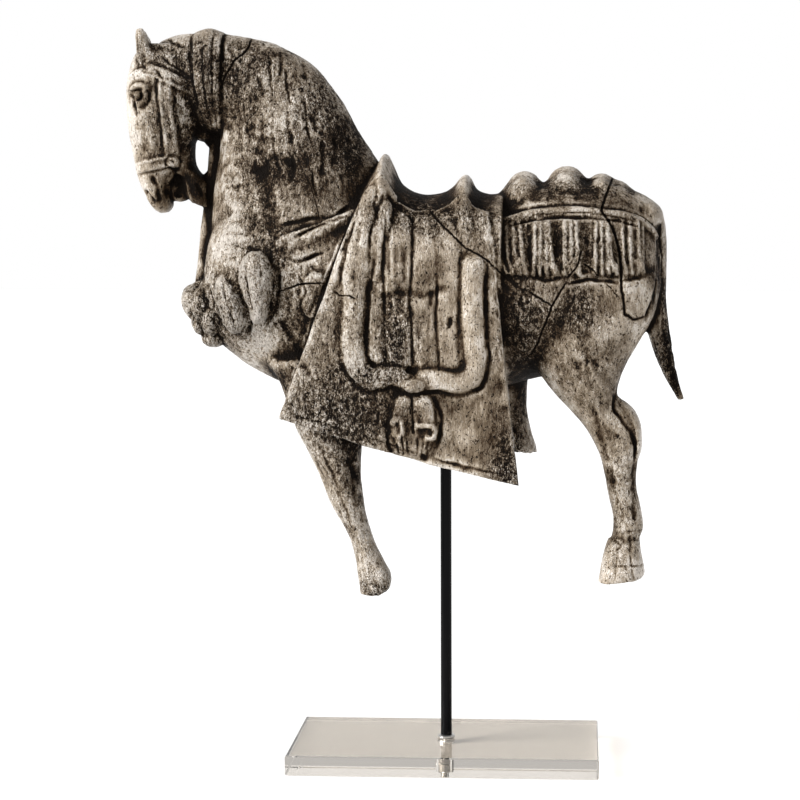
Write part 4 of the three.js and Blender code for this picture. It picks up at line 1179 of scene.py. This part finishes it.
# The plate casts next to no shadow, as light from the lamps goes through it
lamp_ray = node(tree, "LightPath").outputs["Is Shadow Ray"]
clear = node(tree, "BsdfTransparent", [("Color", hex_colour(ACRYLIC_TINT))]).outputs["BSDF"]
lit_through = node(tree, "MixShader", [(0, lamp_ray), (1, shader.outputs["BSDF"]), (2, clear)])
tree.links.new(lit_through.outputs["Shader"], tree.nodes["Material Output"].inputs["Surface"])

for name, finish in (("rod", coat), ("washer", steel), ("screw", steel), ("base_plate", acrylic)):
    cad_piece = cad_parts[name]
    cad_piece.data.materials.clear()
    cad_piece.data.materials.append(finish)

# Stage
# A white floor and a sky of even white light, with one big soft key light from the upper left. It is there
# for pictures only and is no part of the object.
FLOOR_HALF, FLOOR_GAP = 8, 0.0003
stage_mesh = bmesh.new()
under_plate = Matrix.Translation((0, 0, -FLOOR_GAP))
bmesh.ops.create_grid(stage_mesh, x_segments=1, y_segments=1, size=FLOOR_HALF, matrix=under_plate)
floor_mesh = bpy.data.meshes.new("floor")
stage_mesh.to_mesh(floor_mesh)
stage_mesh.free()
floor = bpy.data.objects.new("floor", floor_mesh)
bpy.context.scene.collection.objects.link(floor)
# Matt paper, a little darker than the white behind it, so that the soft shadow shows
paper, tree, shader = material("white_paper")
shader.inputs["Base Color"].default_value = hex_colour("#eaeaea")
shader.inputs["Roughness"].default_value = 0.9
floor_mesh.materials.append(paper)

# The sky lights the scene at this strength, and the camera sees it white
SKY, WHITE = 0.75, 1.0
world = bpy.data.worlds.new("studio")
bpy.context.scene.world = world
world.use_nodes = True
tree = world.node_tree
seen = node(tree, "LightPath").outputs["Is Camera Ray"]
background = tree.nodes["Background"]
strength = node(tree, "MapRange", [("Value", seen), ("To Min", SKY), ("To Max", WHITE)]).outputs[0]
tree.links.new(strength, background.inputs["Strength"])
background.inputs["Color"].default_value = (1, 1, 1, 1)

KEY_STRENGTH, KEY_SOFTNESS, KEY_TOWARDS = 5.5, 32, (0.9, 0.38, -0.5)
key = bpy.data.lights.new("key", "SUN")
key.energy, key.angle = KEY_STRENGTH, math.radians(KEY_SOFTNESS)
lamp = bpy.data.objects.new("key", key)
bpy.context.scene.collection.objects.link(lamp)
lamp.rotation_euler = Vector(KEY_TOWARDS).to_track_quat("-Z", "Y").to_euler()

# The camera stands 1.4 m before the rod at the height of the horse's back, and looks a little down
CAMERA_FROM_ROD, LOOK_DOWN, TURN_LEFT = (0.096, -1.4185, 0.3975), 5.52, 2.888
LENS_MM, SENSOR_MM, SHIFT = 90, 36, -0.10
camera = bpy.data.cameras.new("camera")
camera.lens, camera.sensor_width, camera.shift_x = LENS_MM, SENSOR_MM, SHIFT
view = bpy.data.objects.new("camera", camera)
bpy.context.scene.collection.objects.link(view)
view.location = ROD_AXIS + Vector(CAMERA_FROM_ROD)
view.rotation_euler = (math.radians(90 - LOOK_DOWN), 0, math.radians(TURN_LEFT))
bpy.context.scene.camera = view
bpy.context.scene.view_settings.view_transform = "Standard"
